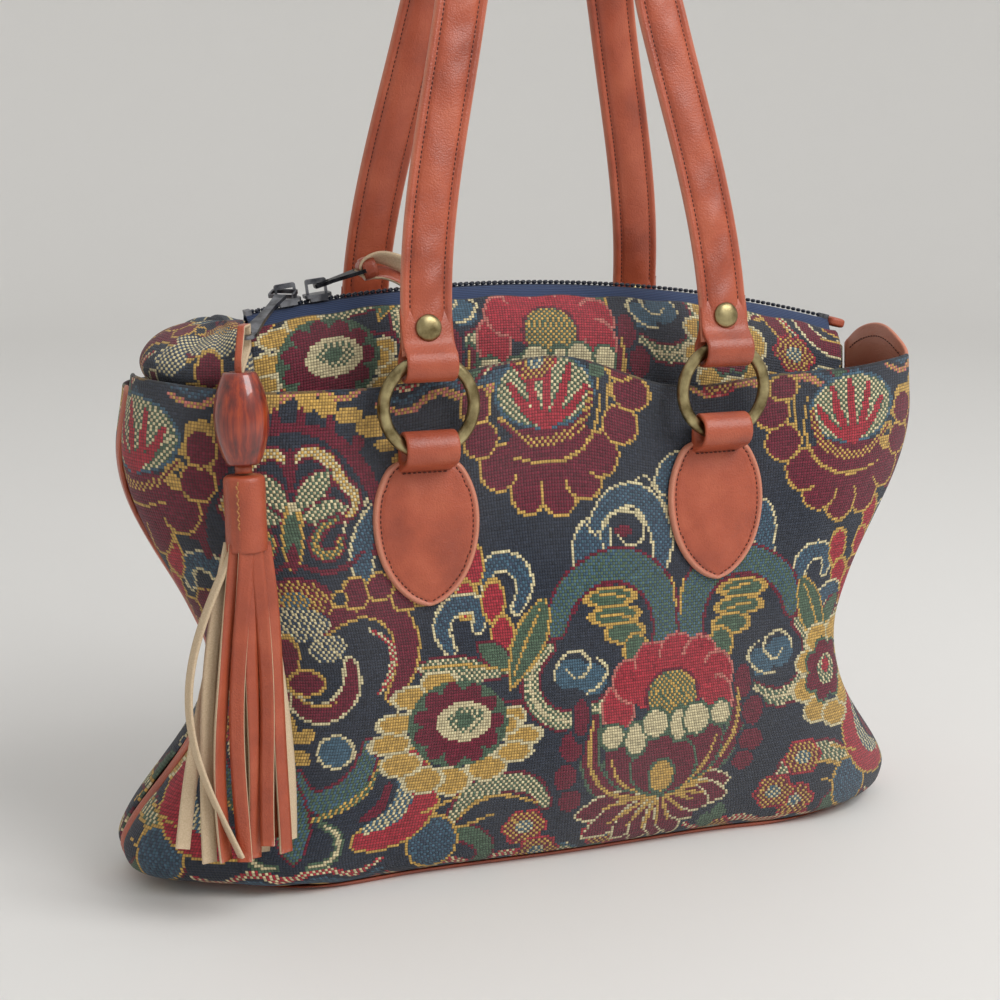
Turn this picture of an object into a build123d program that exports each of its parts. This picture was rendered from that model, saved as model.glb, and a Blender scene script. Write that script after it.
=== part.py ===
# Carpet bag: a soft winged tote in tapestry cloth with leather side gussets,
# a zipped middle section between two slip pockets, two shoulder straps on rings,
# and a bead tassel on the zip pull.
# Millimetres, +Z up, front towards -Y, origin under the middle of the base.
import math
import os
from build123d import *

os.makedirs("parts", exist_ok=True)

# Cloth, leather and the room left between pieces
cloth = 2.2
leather = 2.6
clearance = 0.3

# Outer bag: half sizes of its level sections, from the ground up
heel_height = 18.0
waist_height = 75.0
chest_height = 155.0
edge_height = 245.0
crown_height = 295.0
foot_half_length = 160.0
heel_half_length = 182.0
waist_half_length = 163.0
chest_half_length = 175.0
edge_half_length = 198.0
foot_half_depth = 42.0
heel_half_depth = 52.0
waist_half_depth = 51.0
chest_half_depth = 47.0
edge_half_depth = 42.0
heel_belly = 5.0
waist_belly = 11.0
chest_belly = 9.0
edge_belly = 6.0
left_heel_swell = 38.0
left_waist_swell = 18.0
left_chest_swell = 17.0
left_edge_swell = 9.0
right_heel_swell = 18.0
right_waist_swell = 4.0
right_chest_swell = 2.0
right_edge_swell = -1.0
corner_run = 20.0
corner_drop = 9.0

# Seams between the outer panels
base_seam_height = 4.0
left_foot_seam = 9.0
left_edge_seam = 9.0
right_foot_seam = 14.0
right_edge_seam = 35.0
left_gusset_rise = 2.0
right_gusset_rise = 15.0

# Zip: an arch of one radius, seen from the front
zip_radius = 750.0
zip_crest_x = -25.0
zip_crest_height = 288.0
zip_left_x = -150.0
zip_right_x = 164.0
strip_right_x = 168.0
pillow_x = -160.0
tape_thickness = 0.9
tape_half_width = 14.0
tape_drop = 12.6
tooth_half_width = 2.9
tooth_floor = -0.6
tooth_height = 2.4
tooth_length = 2.3
tooth_pitch = 4.0
stop_length = 3.0
stop_overhang = 0.5
end_tab_length = 9.0
end_tab_half_width = 7.0
end_tab_drop = 0.5
end_tab_thickness = 5.0
end_tab_round = 2.2

# Zipped section below the arch
strip_start = 10.5
strip_start_drop = 5.0
strip_shoulder = 17.5
strip_shoulder_drop = 12.0
strip_turn = 24.0
strip_turn_drop = 26.0
strip_fall = 28.6
strip_fall_drop = 50.0
strip_half_depth = 29.0
strip_depth = 112.0
strip_overrun = 3.0
pouch_cloth = 1.2
pouch_half_length = 134.0
pouch_corner = 22.0
pouch_height = 188.0
pillow_top_height = 275.0
pillow_dome_radius = 18.45
pillow_dome_height = 274.0
pillow_shoulder_radius = 34.0
pillow_shoulder_height = 267.5
pillow_radius = 41.0
pillow_girth_height = 257.0
pillow_under_radius = 35.3
pillow_under_height = 242.0
pillow_neck_radius = 30.0
pillow_neck_height = 220.0
pillow_floor_height = 180.0

# Zip sliders and pulls
left_slider_x = -129.0
slider_spacing = 15.0
slider_half_length = 6.6
slider_half_width = 4.6
slider_plate = 1.6
slider_skirt = 1.2
bail_height = 4.8
bail_bar = 1.2
bail_half_length = 5.2
bail_half_width = 0.8
pull_thickness = 1.8
eye_bar = 1.5
left_eye_half_width = 5.3
right_eye_half_width = 2.2
eye_rail = 1.1
eye_length = 7.6
pull_hole_radius = 2.4
pull_rim = 2.2
pull_waist = 5.0
right_pull_length = 29.0
right_pull_tilt = 10.0
slot_half_width = 4.0
thong_width = 7.0
thong_thickness = 1.5
thong_length = 26.0
thong_tail = 3.0
thong_flare = 1.0

# Tassel on the left pull
tassel_x = -165.0
tassel_top_height = 259.0
tassel_tilt = 3.8
loop_reach = 12.2
loop_rise = 15.0
loop_width = 3.4
loop_thickness = 1.3
loop_gap = 0.4
loop_tuck = 3.0
loop_knee = 1.0
loop_below = 5.5
loop_above = 4.5
loop_over = 7.5
loop_shoulder = 5.0
loop_bend = 0.7
bead_radius = 12.5
bead_end_radius = 7.5
bead_length = 42.0
bead_bore = 3.2
neck_radius = 4.0
neck_length = 4.5
collar_radius = 9.5
collar_length = 35.0
collar_wall = 0.8
strip_tuck = 4.0
collar_hollow = 5.0
fringe_length = 147.0
fringe_width = 6.0
fringe_thickness = 1.5
fringe_spread_x = 20.0
fringe_spread_y = 5.0
fringe_drift = -10.0
outer_strip_count = 6
outer_strip_radius = 5.9
outer_strip_step = 0.03
inner_strip_count = 4
inner_strip_radius = 3.3
inner_strip_width = 4.4
inner_strip_step = 0.02
inner_strip_spread = 0.25

# Leaf tabs, rings and straps
tab_x = 76.0
tab_axis_height = 218.0
leaf_half_width = 26.5
leaf_length = 77.0
neck_half_width = 13.0
neck_overlap = 4.0
neck_flare = 2.0
neck_flare_drop = 3.0
leaf_point_rise = 7.0
stitch_drop = 11.0
ring_radius = 22.0
ring_wire = 3.0
ring_sides = 10
ring_slack = 2.0
bore_radius = 6.4
strap_width = 25.0
strap_edge = 3.2
strap_crown = 6.4
strap_rise = 262.0
strap_half_width_top = 42.0
strap_end_length = 26.0
strap_first_lean = 1.5
strap_side_lean = 25.0
strap_stations = 13
twist_start = 0.55
rivet_height = 16.5
rivet_radius = 6.3
rivet_cap = 2.2
rivet_taper = 38.0
rivet_post = 1.9
strap_gap = 3.0

# Worked-out values shared by several pieces
reach = 400.0
probe_width = 2.0
bead_level = 10.0
zip_axis_height = zip_crest_height - zip_radius
zip_axis = Axis((zip_crest_x, 0, zip_axis_height), (0, 1, 0))


def save(part, name):
    """Label a finished piece and write it."""
    part.label = name
    export_step(part, f"parts/{name}.step")


def section_points(half_length, half_depth, belly, left_swell, right_swell, grow):
    """Points of one level section, moved out by grow along the outline's normal."""
    def side(swell):
        return [
            (half_length + swell, 0.0),
            (half_length + 0.75 * swell, 0.5 * half_depth),
            (half_length - 0.15 * corner_run, half_depth - corner_drop),
            (half_length - corner_run, half_depth),
            (0.55 * half_length, half_depth + 0.72 * belly),
        ]
    right = side(right_swell)
    left = [(-x, y) for x, y in side(left_swell)]
    back = right + [(0.0, half_depth + belly)] + left[::-1]
    front = [(x, -y) for x, y in back[::-1][1:-1]]
    outline = back + front
    moved = []
    for index, (x, y) in enumerate(outline):
        before = outline[index - 1]
        after = outline[(index + 1) % len(outline)]
        along = Vector(after[0] - before[0], after[1] - before[1]).normalized()
        moved.append((x + grow * along.Y, y - grow * along.X))
    return moved


def bag_form(grow, floor):
    """Solid of the outer bag, moved out by grow, standing at the height floor."""
    with BuildPart() as form:
        foot = (foot_half_length, foot_half_depth, heel_belly, left_waist_swell, right_waist_swell)
        heel = (heel_half_length, heel_half_depth, heel_belly, left_heel_swell, right_heel_swell)
        waist = (waist_half_length, waist_half_depth, waist_belly, left_waist_swell, right_waist_swell)
        chest = (chest_half_length, chest_half_depth, chest_belly, left_chest_swell, right_chest_swell)
        edge = (edge_half_length, edge_half_depth, edge_belly, left_edge_swell, right_edge_swell)
        levels = [
            (floor, foot),
            (heel_height, heel),
            (waist_height, waist),
            (chest_height, chest),
            (edge_height, edge),
            (crown_height, edge),
        ]
        for height, sizes in levels:
            with BuildSketch(Plane.XY.offset(height)):
                with BuildLine():
                    Spline(*section_points(*sizes, grow), periodic=True)
                make_face()
        loft()
    return form.part


bag_outside = bag_form(0, 0)
bag_inside = bag_form(-cloth, cloth)
leather_seat = bag_form(clearance, 0)
leather_outside = bag_form(clearance + leather, 0)
bag_wall = bag_outside - bag_inside


gusset_seams = {-1: (left_foot_seam, left_edge_seam), 1: (right_foot_seam, right_edge_seam)}


def panel_zone(side, foot_seam, edge_seam):
    """Outline, in Y and Z, of what the front (side -1) or back (side 1) panel takes of the wall."""
    Polygon(
        (side * foot_seam, base_seam_height),
        (side * edge_seam, edge_height),
        (side * reach, edge_height),
        (side * reach, base_seam_height),
        align=None,
    )


for side, panel_name in ((-1, "front_panel"), (1, "back_panel")):
    with BuildPart() as panel:
        for end in (-1, 1):
            with BuildSketch(Plane.YZ):
                panel_zone(side, *gusset_seams[end])
            extrude(amount=end * reach)
        add(bag_wall, mode=Mode.INTERSECT)
    save(panel.part, panel_name)

with BuildPart() as base_panel:
    add(bag_wall)
    with BuildSketch(Plane.XY):
        Rectangle(2 * reach, 2 * reach)
    extrude(amount=base_seam_height, mode=Mode.INTERSECT)
save(base_panel.part, "base_panel")

for side, rise, gusset_name in (
    (-1, left_gusset_rise, "left_gusset"),
    (1, right_gusset_rise, "right_gusset"),
):
    foot_seam, edge_seam = gusset_seams[side]
    with BuildPart() as gusset:
        add(bag_wall)
        with BuildSketch(Plane.YZ):
            with BuildLine():
                Polyline(
                    (-edge_seam, edge_height),
                    (-foot_seam, base_seam_height),
                    (foot_seam, base_seam_height),
                    (edge_seam, edge_height),
                )
                ThreePointArc(
                    (edge_seam, edge_height),
                    (0, edge_height + rise),
                    (-edge_seam, edge_height),
                )
            make_face()
        extrude(amount=side * reach, mode=Mode.INTERSECT)
    save(gusset.part, gusset_name)


def zip_angle(x):
    """Angle on the zip's arch at the place x along the bag."""
    return math.degrees(math.asin((x - zip_crest_x) / zip_radius))


def zip_plane(angle, lift=0.0):
    """Plane across the zip's arch: its X is the bag's Y, its Y points away from the arch's centre."""
    turn = math.radians(angle)
    radius = zip_radius + lift
    origin = (zip_crest_x + radius * math.sin(turn), 0, zip_axis_height + radius * math.cos(turn))
    return Plane(origin=origin, x_dir=(0, 1, 0), z_dir=(math.cos(turn), 0, -math.sin(turn)))


def offset_curve(points, distance):
    """The same row of points, moved to its right by a distance."""
    moved = []
    for index, (x, y) in enumerate(points):
        before = points[max(index - 1, 0)]
        after = points[min(index + 1, len(points) - 1)]
        along = Vector(after[0] - before[0], after[1] - before[1]).normalized()
        moved.append((x + distance * along.Y, y - distance * along.X))
    return moved


strip_profile = [
    (strip_start, -strip_start_drop),
    (strip_shoulder, -strip_shoulder_drop),
    (strip_turn, -strip_turn_drop),
    (strip_fall, -strip_fall_drop),
    (strip_half_depth, -strip_depth),
]
strip_lining = offset_curve(strip_profile, cloth)
left_strip_angle = zip_angle(pillow_x)
right_strip_angle = zip_angle(strip_right_x)


def thick_curve(outer, inner):
    """Face between two rows of points, joined by straight ends."""
    with BuildLine() as outline:
        Spline(*outer)
        Line(outer[-1], inner[-1])
        Spline(*inner[::-1])
        Line(inner[0], outer[0])
    make_face(outline.edges())


for side, strip_name in ((-1, "front_zip_strip"), (1, "back_zip_strip")):
    with BuildPart() as strip:
        with BuildSketch(zip_plane(left_strip_angle - strip_overrun)):
            outer = [(side * x, y) for x, y in strip_profile]
            inner = [(side * x, y) for x, y in strip_lining]
            thick_curve(outer, inner)
        revolve(axis=zip_axis, revolution_arc=right_strip_angle - left_strip_angle + strip_overrun)
        split(bisect_by=Plane.YZ.offset(pillow_x), keep=Keep.TOP)
    save(strip.part, strip_name)

# Closed, stuffed left end of the zipped section: half a turn of its own profile
pillow_profile = [
    (0.0, pillow_top_height),
    (pillow_dome_radius, pillow_dome_height),
    (pillow_shoulder_radius, pillow_shoulder_height),
    (pillow_radius, pillow_girth_height),
    (pillow_under_radius, pillow_under_height),
    (pillow_neck_radius, pillow_neck_height),
    (strip_half_depth, pillow_floor_height),
]
pillow_lining = offset_curve(pillow_profile, cloth)
pillow_lining[0] = (0.0, pillow_top_height - cloth)
with BuildPart() as zip_left_end:
    with BuildSketch(Plane((pillow_x, 0, 0), x_dir=(0, -1, 0), z_dir=(-1, 0, 0))):
        thick_curve(pillow_profile, pillow_lining)
    revolve(axis=Axis((pillow_x, 0, 0), (0, 0, -1)), revolution_arc=180)
save(zip_left_end.part, "zip_left_end")

with BuildPart() as zip_right_end:
    with BuildSketch(zip_plane(right_strip_angle)):
        mirrored_lining = [(-x, y) for x, y in strip_lining[::-1]]
        with BuildLine():
            Spline(*strip_lining)
            Line(strip_lining[-1], mirrored_lining[0])
            Spline(*mirrored_lining)
            Line(mirrored_lining[-1], strip_lining[0])
        make_face()
    extrude(amount=cloth)
save(zip_right_end.part, "zip_right_end")

with BuildPart() as inner_pouch:
    pouch_half_depth = strip_half_depth - cloth - 3 * clearance
    pouch_floor = cloth + clearance
    with BuildSketch(Plane.XY.offset(pouch_floor)):
        RectangleRounded(2 * pouch_half_length, 2 * pouch_half_depth, pouch_corner)
    extrude(amount=pouch_height - pouch_floor)
    with BuildSketch(Plane.XY.offset(pouch_floor + pouch_cloth)):
        RectangleRounded(
            2 * (pouch_half_length - pouch_cloth),
            2 * (pouch_half_depth - pouch_cloth),
            pouch_corner - pouch_cloth,
        )
    extrude(amount=pouch_height, mode=Mode.SUBTRACT)
save(inner_pouch.part, "inner_pouch")

# Zip: two tapes, one row of teeth, a stop at each end and a leather end tab
zip_left_angle = zip_angle(zip_left_x)
zip_right_angle = zip_angle(zip_right_x)
zip_sweep = zip_right_angle - zip_left_angle
for side, tape_name in ((-1, "front_zip_tape"), (1, "back_zip_tape")):
    with BuildPart() as tape:
        with BuildSketch(zip_plane(zip_left_angle)):
            lip = tooth_half_width + clearance
            Polygon(
                (side * clearance, tooth_floor),
                (side * lip, tooth_floor),
                (side * tape_half_width, -tape_drop),
                (side * (tape_half_width - tape_thickness), -tape_drop - tape_thickness),
                (side * (lip - clearance), tooth_floor - tape_thickness),
                (side * clearance, tooth_floor - tape_thickness),
                align=None,
            )
        revolve(axis=zip_axis, revolution_arc=zip_sweep)
    save(tape.part, tape_name)

stop_turn = math.degrees(stop_length / zip_radius)
teeth_sweep = zip_sweep - 2 * stop_turn
tooth_count = int(math.radians(teeth_sweep) * zip_radius / tooth_pitch)
with BuildPart() as zip_teeth:
    with BuildSketch(zip_plane(zip_left_angle + stop_turn)):
        with Locations((0, tooth_floor + 0.3 * tooth_height)):
            Rectangle(1.1 * tooth_half_width, 0.6 * tooth_height)
    revolve(axis=zip_axis, revolution_arc=teeth_sweep)
    tooth_turns = [teeth_sweep * (tooth + 0.5) / tooth_count for tooth in range(tooth_count)]
    tooth_planes = [zip_plane(zip_left_angle + stop_turn + turn) for turn in tooth_turns]
    with BuildSketch(*[plane.offset(-tooth_length / 2) for plane in tooth_planes]):
        with Locations((0, tooth_floor + tooth_height / 2)):
            Rectangle(2 * tooth_half_width, tooth_height)
    extrude(amount=tooth_length)
save(zip_teeth.part, "zip_teeth")

with BuildPart() as zip_stops:
    for start in (zip_left_angle, zip_right_angle - stop_turn):
        with BuildSketch(zip_plane(start)):
            with Locations((0, tooth_floor + tooth_height / 2)):
                Rectangle(2 * (tooth_half_width + stop_overhang), tooth_height)
        revolve(axis=zip_axis, revolution_arc=stop_turn)
save(zip_stops.part, "zip_stops")

with BuildPart() as zip_end_tab:
    with BuildSketch(zip_plane(zip_right_angle)):
        with Locations((0, tooth_floor - end_tab_drop)):
            RectangleRounded(2 * end_tab_half_width, end_tab_thickness, end_tab_round)
    extrude(amount=end_tab_length)
save(zip_end_tab.part, "zip_end_tab")

# Sliders: a saddle over the teeth with a bail on top
plate_floor = tooth_floor + tooth_height + clearance
bail_floor = plate_floor + slider_plate
pull_axis_lift = bail_floor + bail_height - math.hypot(eye_bar, pull_thickness) / 2 - clearance / 2


def slider_part(x):
    """Zip slider standing on the arch at the place x."""
    across = zip_plane(zip_angle(x))
    top = Plane(across.origin, x_dir=across.z_dir, z_dir=across.y_dir)
    along = Plane(across.origin, x_dir=across.z_dir, z_dir=-across.x_dir)
    with BuildPart() as slider:
        with BuildSketch(top.offset(plate_floor)):
            RectangleRounded(2 * slider_half_length, 2 * slider_half_width, 0.45 * slider_half_width)
        extrude(amount=slider_plate)
        with BuildSketch(top.offset(plate_floor)):
            skirt_y = slider_half_width - slider_skirt / 2
            with Locations((0, -skirt_y), (0, skirt_y)):
                Rectangle(1.3 * slider_half_length, slider_skirt)
        extrude(amount=-0.7 * tooth_height)
        with BuildSketch(along):
            with Locations((0, bail_floor + (bail_height + bail_bar) / 2)):
                RectangleRounded(2 * bail_half_length, bail_height + bail_bar + 2 * bail_bar, bail_bar)
            with Locations((0, bail_floor + bail_height / 2)):
                Rectangle(2 * (bail_half_length - bail_bar), bail_height, mode=Mode.SUBTRACT)
            with Locations((0, plate_floor - bail_bar)):
                Rectangle(4 * bail_half_length, 2 * bail_bar + slider_plate, mode=Mode.SUBTRACT)
        extrude(amount=bail_half_width, both=True)
    return slider.part


right_slider_x = left_slider_x + slider_spacing
blade_start = eye_length - eye_bar / 2
save(slider_part(left_slider_x), "left_slider")
save(slider_part(right_slider_x), "right_slider")


def surface_y(x, height):
    """Y of the outer cloth in front at a place x and height."""
    probe = Pos(x, -reach / 2, height) * Box(probe_width, reach, probe_width)
    return (bag_outside & probe).bounding_box().min.Y


def pull_eye(plane, half_width):
    """Open eye of a zip pull: a bar through the bail and two rails to the blade."""
    with BuildSketch(plane.offset(-pull_thickness / 2)) as eye:
        middle = (eye_length - eye_bar / 2) / 2
        with Locations((middle, 0)):
            RectangleRounded(eye_length + eye_bar / 2, 2 * (half_width + eye_rail), 0.7 * eye_bar)
        with Locations((eye_bar / 2 + (eye_length - eye_bar) / 2, 0)):
            Rectangle(eye_length - eye_bar, 2 * half_width, mode=Mode.SUBTRACT)
    extrude(eye.sketch, amount=pull_thickness)


# Left pull: from the bail, forward and down over the pocket edge, to the tassel's loop
tassel_y = surface_y(tassel_x, edge_height - bead_level) - bead_radius - 2 * clearance
tassel_top = Vector(tassel_x, tassel_y, tassel_top_height)
left_bail = zip_plane(zip_angle(left_slider_x), pull_axis_lift).origin
to_tassel = Vector(tassel_top.X - left_bail.X, tassel_top.Y - left_bail.Y, 0)
pull_heading = to_tassel.normalized()
pull_hole = tassel_top - loop_reach * pull_heading + Vector(0, 0, loop_rise)
pull_run = pull_hole - left_bail
hinge_line = Vector(-pull_heading.Y, pull_heading.X, 0)
left_pull_plane = Plane(left_bail, x_dir=pull_run, z_dir=pull_run.cross(hinge_line))
with BuildPart() as left_pull:
    pull_eye(left_pull_plane, left_eye_half_width)
    with BuildSketch(left_pull_plane.offset(-pull_thickness / 2)):
        with BuildLine():
            tip = pull_hole_radius + pull_rim
            upper = Spline(
                (blade_start, 0.6 * pull_waist),
                (0.35 * pull_run.length, 0.42 * pull_waist),
                (pull_run.length - 1.6 * tip, 0.8 * tip),
                (pull_run.length, tip),
            )
            mirror(upper, about=Plane.XZ)
            ThreePointArc(
                (pull_run.length, tip),
                (pull_run.length + tip, 0),
                (pull_run.length, -tip),
            )
            Line((blade_start, 0.6 * pull_waist), (blade_start, -0.6 * pull_waist))
        make_face()
        with Locations((pull_run.length, 0)):
            Circle(pull_hole_radius, mode=Mode.SUBTRACT)
    extrude(amount=pull_thickness)
save(left_pull.part, "left_pull")

# Right pull: a drop-shaped blade lying along the zip, with a folded leather strip in its slot
right_bail_plane = zip_plane(zip_angle(right_slider_x), pull_axis_lift)
lift = math.radians(right_pull_tilt)
right_heading = right_bail_plane.z_dir * math.cos(lift) + right_bail_plane.y_dir * math.sin(lift)
pull_up = right_heading.cross(Vector(0, 1, 0))
right_pull_plane = Plane(right_bail_plane.origin, x_dir=right_heading, z_dir=pull_up)
blade_end = slot_half_width + pull_rim
with BuildPart() as right_pull:
    pull_eye(right_pull_plane, right_eye_half_width)
    with BuildSketch(right_pull_plane.offset(-pull_thickness / 2)):
        with BuildLine():
            Polyline(
                (right_pull_length - blade_end, blade_end),
                (blade_start, 0.5 * pull_waist),
                (blade_start, -0.5 * pull_waist),
                (right_pull_length - blade_end, -blade_end),
            )
            ThreePointArc(
                (right_pull_length - blade_end, -blade_end),
                (right_pull_length, 0),
                (right_pull_length - blade_end, blade_end),
            )
        make_face()
        with Locations((right_pull_length - blade_end, 0)):
            Rectangle(2 * pull_hole_radius, 2 * slot_half_width, mode=Mode.SUBTRACT)
    extrude(amount=pull_thickness)
save(right_pull.part, "right_pull")

with BuildPart() as pull_thong:
    slot = right_pull_plane.from_local_coords(Vector(right_pull_length - blade_end, 0, 0))
    thong_plane = Plane(slot, x_dir=right_pull_plane.x_dir, z_dir=-right_pull_plane.y_dir)
    gap = pull_thickness / 2 + thong_thickness
    with BuildLine(thong_plane) as thong_line:
        FilletPolyline(
            (thong_length, -gap - thong_flare),
            (0, -gap),
            (0, gap),
            (thong_length + thong_tail, gap + thong_flare),
            radius=0.8 * gap,
        )
    with BuildSketch(Plane(thong_line.line @ 0, x_dir=right_pull_plane.y_dir, z_dir=thong_line.line % 0)):
        Rectangle(thong_width, thong_thickness)
    sweep()
save(pull_thong.part, "pull_thong")

# Tassel: leather loop, wooden bead, neck, rolled collar and fringe
tilt = math.radians(tassel_tilt)
tassel_plane = Plane(tassel_top, x_dir=(1, 0, 0), z_dir=(0, math.sin(tilt), math.cos(tilt)))
with BuildPart() as tassel_loop:
    loop_plane = Plane(pull_hole, x_dir=pull_heading, z_dir=hinge_line * -1)
    leg = (loop_thickness + loop_gap) / 2
    with BuildLine(loop_plane) as loop_line:
        FilletPolyline(
            (loop_reach - leg, -loop_rise - loop_tuck),
            (loop_reach - leg, -loop_rise - loop_knee),
            (0, -loop_below),
            (0, loop_above),
            (loop_over, loop_above),
            (loop_reach + leg, -loop_rise + loop_shoulder),
            (loop_reach + leg, -loop_rise - loop_tuck),
            radius=loop_bend,
        )
    with BuildSketch(Plane(loop_line.line @ 0, x_dir=hinge_line, z_dir=loop_line.line % 0)):
        Rectangle(loop_width, loop_thickness)
    sweep()
save(tassel_loop.part, "tassel_loop")

with BuildPart() as tassel_bead:
    with BuildSketch(Plane(tassel_plane.origin, x_dir=tassel_plane.x_dir, z_dir=-tassel_plane.y_dir)):
        with BuildLine():
            Line((bead_bore, 0), (bead_end_radius, 0))
            ThreePointArc(
                (bead_end_radius, 0),
                (bead_radius, -bead_length / 2),
                (bead_end_radius, -bead_length),
            )
            Line((bead_end_radius, -bead_length), (bead_bore, -bead_length))
            Line((bead_bore, -bead_length), (bead_bore, 0))
        make_face()
    revolve(axis=Axis(tassel_plane.origin, tassel_plane.z_dir))
save(tassel_bead.part, "tassel_bead")

with BuildPart() as tassel_neck:
    with BuildSketch(tassel_plane.offset(-bead_length - neck_length)):
        Circle(neck_radius)
    extrude(amount=neck_length)
save(tassel_neck.part, "tassel_neck")

collar_top = -bead_length - neck_length
collar_end = collar_top - collar_length
with BuildPart() as tassel_collar:
    with BuildSketch(tassel_plane.offset(collar_end)):
        Circle(collar_radius)
    extrude(amount=collar_length)
    with BuildSketch(tassel_plane.offset(collar_end)):
        Circle(collar_radius - collar_wall)
    extrude(amount=collar_hollow, mode=Mode.SUBTRACT)
save(tassel_collar.part, "tassel_collar")


def fringe_ring(count, radius, width, spread, shortening):
    """Straight leather strips round the tassel's middle, fanning out downwards."""
    for index in range(count):
        turn = 2 * math.pi * (index + 0.5) / count
        start = Vector(radius * math.cos(turn), radius * math.sin(turn), 0)
        fan_x = fringe_spread_x * spread * math.cos(turn) + fringe_drift
        fan_y = fringe_spread_y * spread * math.sin(turn)
        fall = Vector(fan_x, fan_y, -fringe_length * (1 - shortening * (index % 3)))
        top = tassel_plane.from_local_coords(start + Vector(0, 0, collar_end + strip_tuck))
        bottom = tassel_plane.from_local_coords(start + fall + Vector(0, 0, collar_end + strip_tuck))
        flat = tassel_plane.x_dir * -math.sin(turn) + tassel_plane.y_dir * math.cos(turn)
        run = bottom - top
        with BuildSketch(Plane(top, x_dir=flat, z_dir=run)) as end:
            Rectangle(width, fringe_thickness)
        extrude(end.sketch, amount=run.length)


with BuildPart() as tassel_strips:
    fringe_ring(outer_strip_count, outer_strip_radius, fringe_width, 1.0, outer_strip_step)
    fringe_ring(
        inner_strip_count,
        inner_strip_radius,
        inner_strip_width,
        inner_strip_spread,
        inner_strip_step,
    )
save(tassel_strips.part, "tassel_strips")

# Leaf tabs: a leather leaf on the cloth, its neck turned into a bore for the ring
loop_radius = bore_radius + 0.85 * leather
ring_y = surface_y(tab_x, tab_axis_height) - clearance - loop_radius - loop_gap
ring_lift = 2 * (ring_radius - ring_slack)
strap_axis_height = tab_axis_height + ring_lift
leaf_tip_height = tab_axis_height - leaf_length
stitch_height = tab_axis_height - stitch_drop
neck_top = stitch_height + neck_overlap
leaf_y = surface_y(tab_x, stitch_height) - clearance - leather / 2


def tab_part():
    """Front right leaf tab."""
    with BuildPart() as tab:
        with BuildSketch(Plane((tab_x, 0, 0), x_dir=(1, 0, 0), z_dir=(0, -1, 0))):
            with BuildLine():
                waist = leaf_tip_height + 0.55 * (stitch_height - leaf_tip_height)
                right = Spline(
                    (neck_half_width, neck_top),
                    (neck_half_width + neck_flare, stitch_height - neck_flare_drop),
                    (leaf_half_width, waist),
                    (0.42 * leaf_half_width, leaf_tip_height + leaf_point_rise),
                    (0, leaf_tip_height),
                    tangents=[(0, -1), (-1, -0.12)],
                )
                mirror(right, about=Plane.YZ)
                Line((neck_half_width, neck_top), (-neck_half_width, neck_top))
            make_face()
        extrude(amount=reach)
        add(leather_outside, mode=Mode.INTERSECT)
        with BuildSketch(Plane.YZ.offset(tab_x)):
            with BuildLine():
                CenterArc((ring_y, tab_axis_height), loop_radius, 0, 360)
                CenterArc((leaf_y, stitch_height), leather / 2, 0, 360)
            make_hull()
        extrude(amount=neck_half_width, both=True)
        with BuildSketch(Plane.YZ.offset(tab_x)):
            with Locations((ring_y, tab_axis_height)):
                Circle(bore_radius)
        extrude(amount=reach, both=True, mode=Mode.SUBTRACT)
        add(leather_seat, mode=Mode.SUBTRACT)
    return tab.part


front_right_tab = tab_part()
front_left_tab = front_right_tab.mirror(Plane.YZ)
save(front_right_tab, "front_right_tab")
save(front_left_tab, "front_left_tab")
save(front_right_tab.mirror(Plane.XZ), "back_right_tab")
save(front_left_tab.mirror(Plane.XZ), "back_left_tab")

with BuildPart() as front_rings:
    ring_height = tab_axis_height + ring_radius - ring_slack
    for ring_x in (-tab_x, tab_x):
        with BuildSketch(Plane((ring_x, ring_y, ring_height), x_dir=(1, 0, 0), z_dir=(0, 0, 1))):
            with Locations((ring_radius, 0)):
                RegularPolygon(ring_wire, ring_sides)
        revolve(axis=Axis((ring_x, ring_y, ring_height), (0, 1, 0)))
save(front_rings.part, "front_rings")
save(front_rings.part.mirror(Plane.XZ), "back_rings")


def strap_path():
    """Half of the strap's middle line, from the ring up to the top, in X and Z."""
    return Spline(
        (tab_x, 0, 0.4 * strap_end_length),
        (tab_x - strap_first_lean, 0, 1.6 * strap_end_length),
        (tab_x - strap_side_lean, 0, 0.62 * strap_rise),
        (strap_half_width_top, 0, 0.80 * strap_rise),
        (0.62 * strap_half_width_top, 0, 0.955 * strap_rise),
        (0, 0, strap_rise),
        tangents=[(0, 0, 1), (-1, 0, 0)],
    )


def strap_section(plane):
    """Padded strap section: two bowed faces between narrow sewn edges."""
    half = strap_width / 2
    with BuildSketch(plane) as section:
        with BuildLine():
            Line((-half, -strap_edge / 2), (-half, strap_edge / 2))
            ThreePointArc((-half, strap_edge / 2), (0, strap_crown / 2), (half, strap_edge / 2))
            Line((half, strap_edge / 2), (half, -strap_edge / 2))
            ThreePointArc((half, -strap_edge / 2), (0, -strap_crown / 2), (-half, -strap_edge / 2))
        make_face()
    return section.sketch


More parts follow.
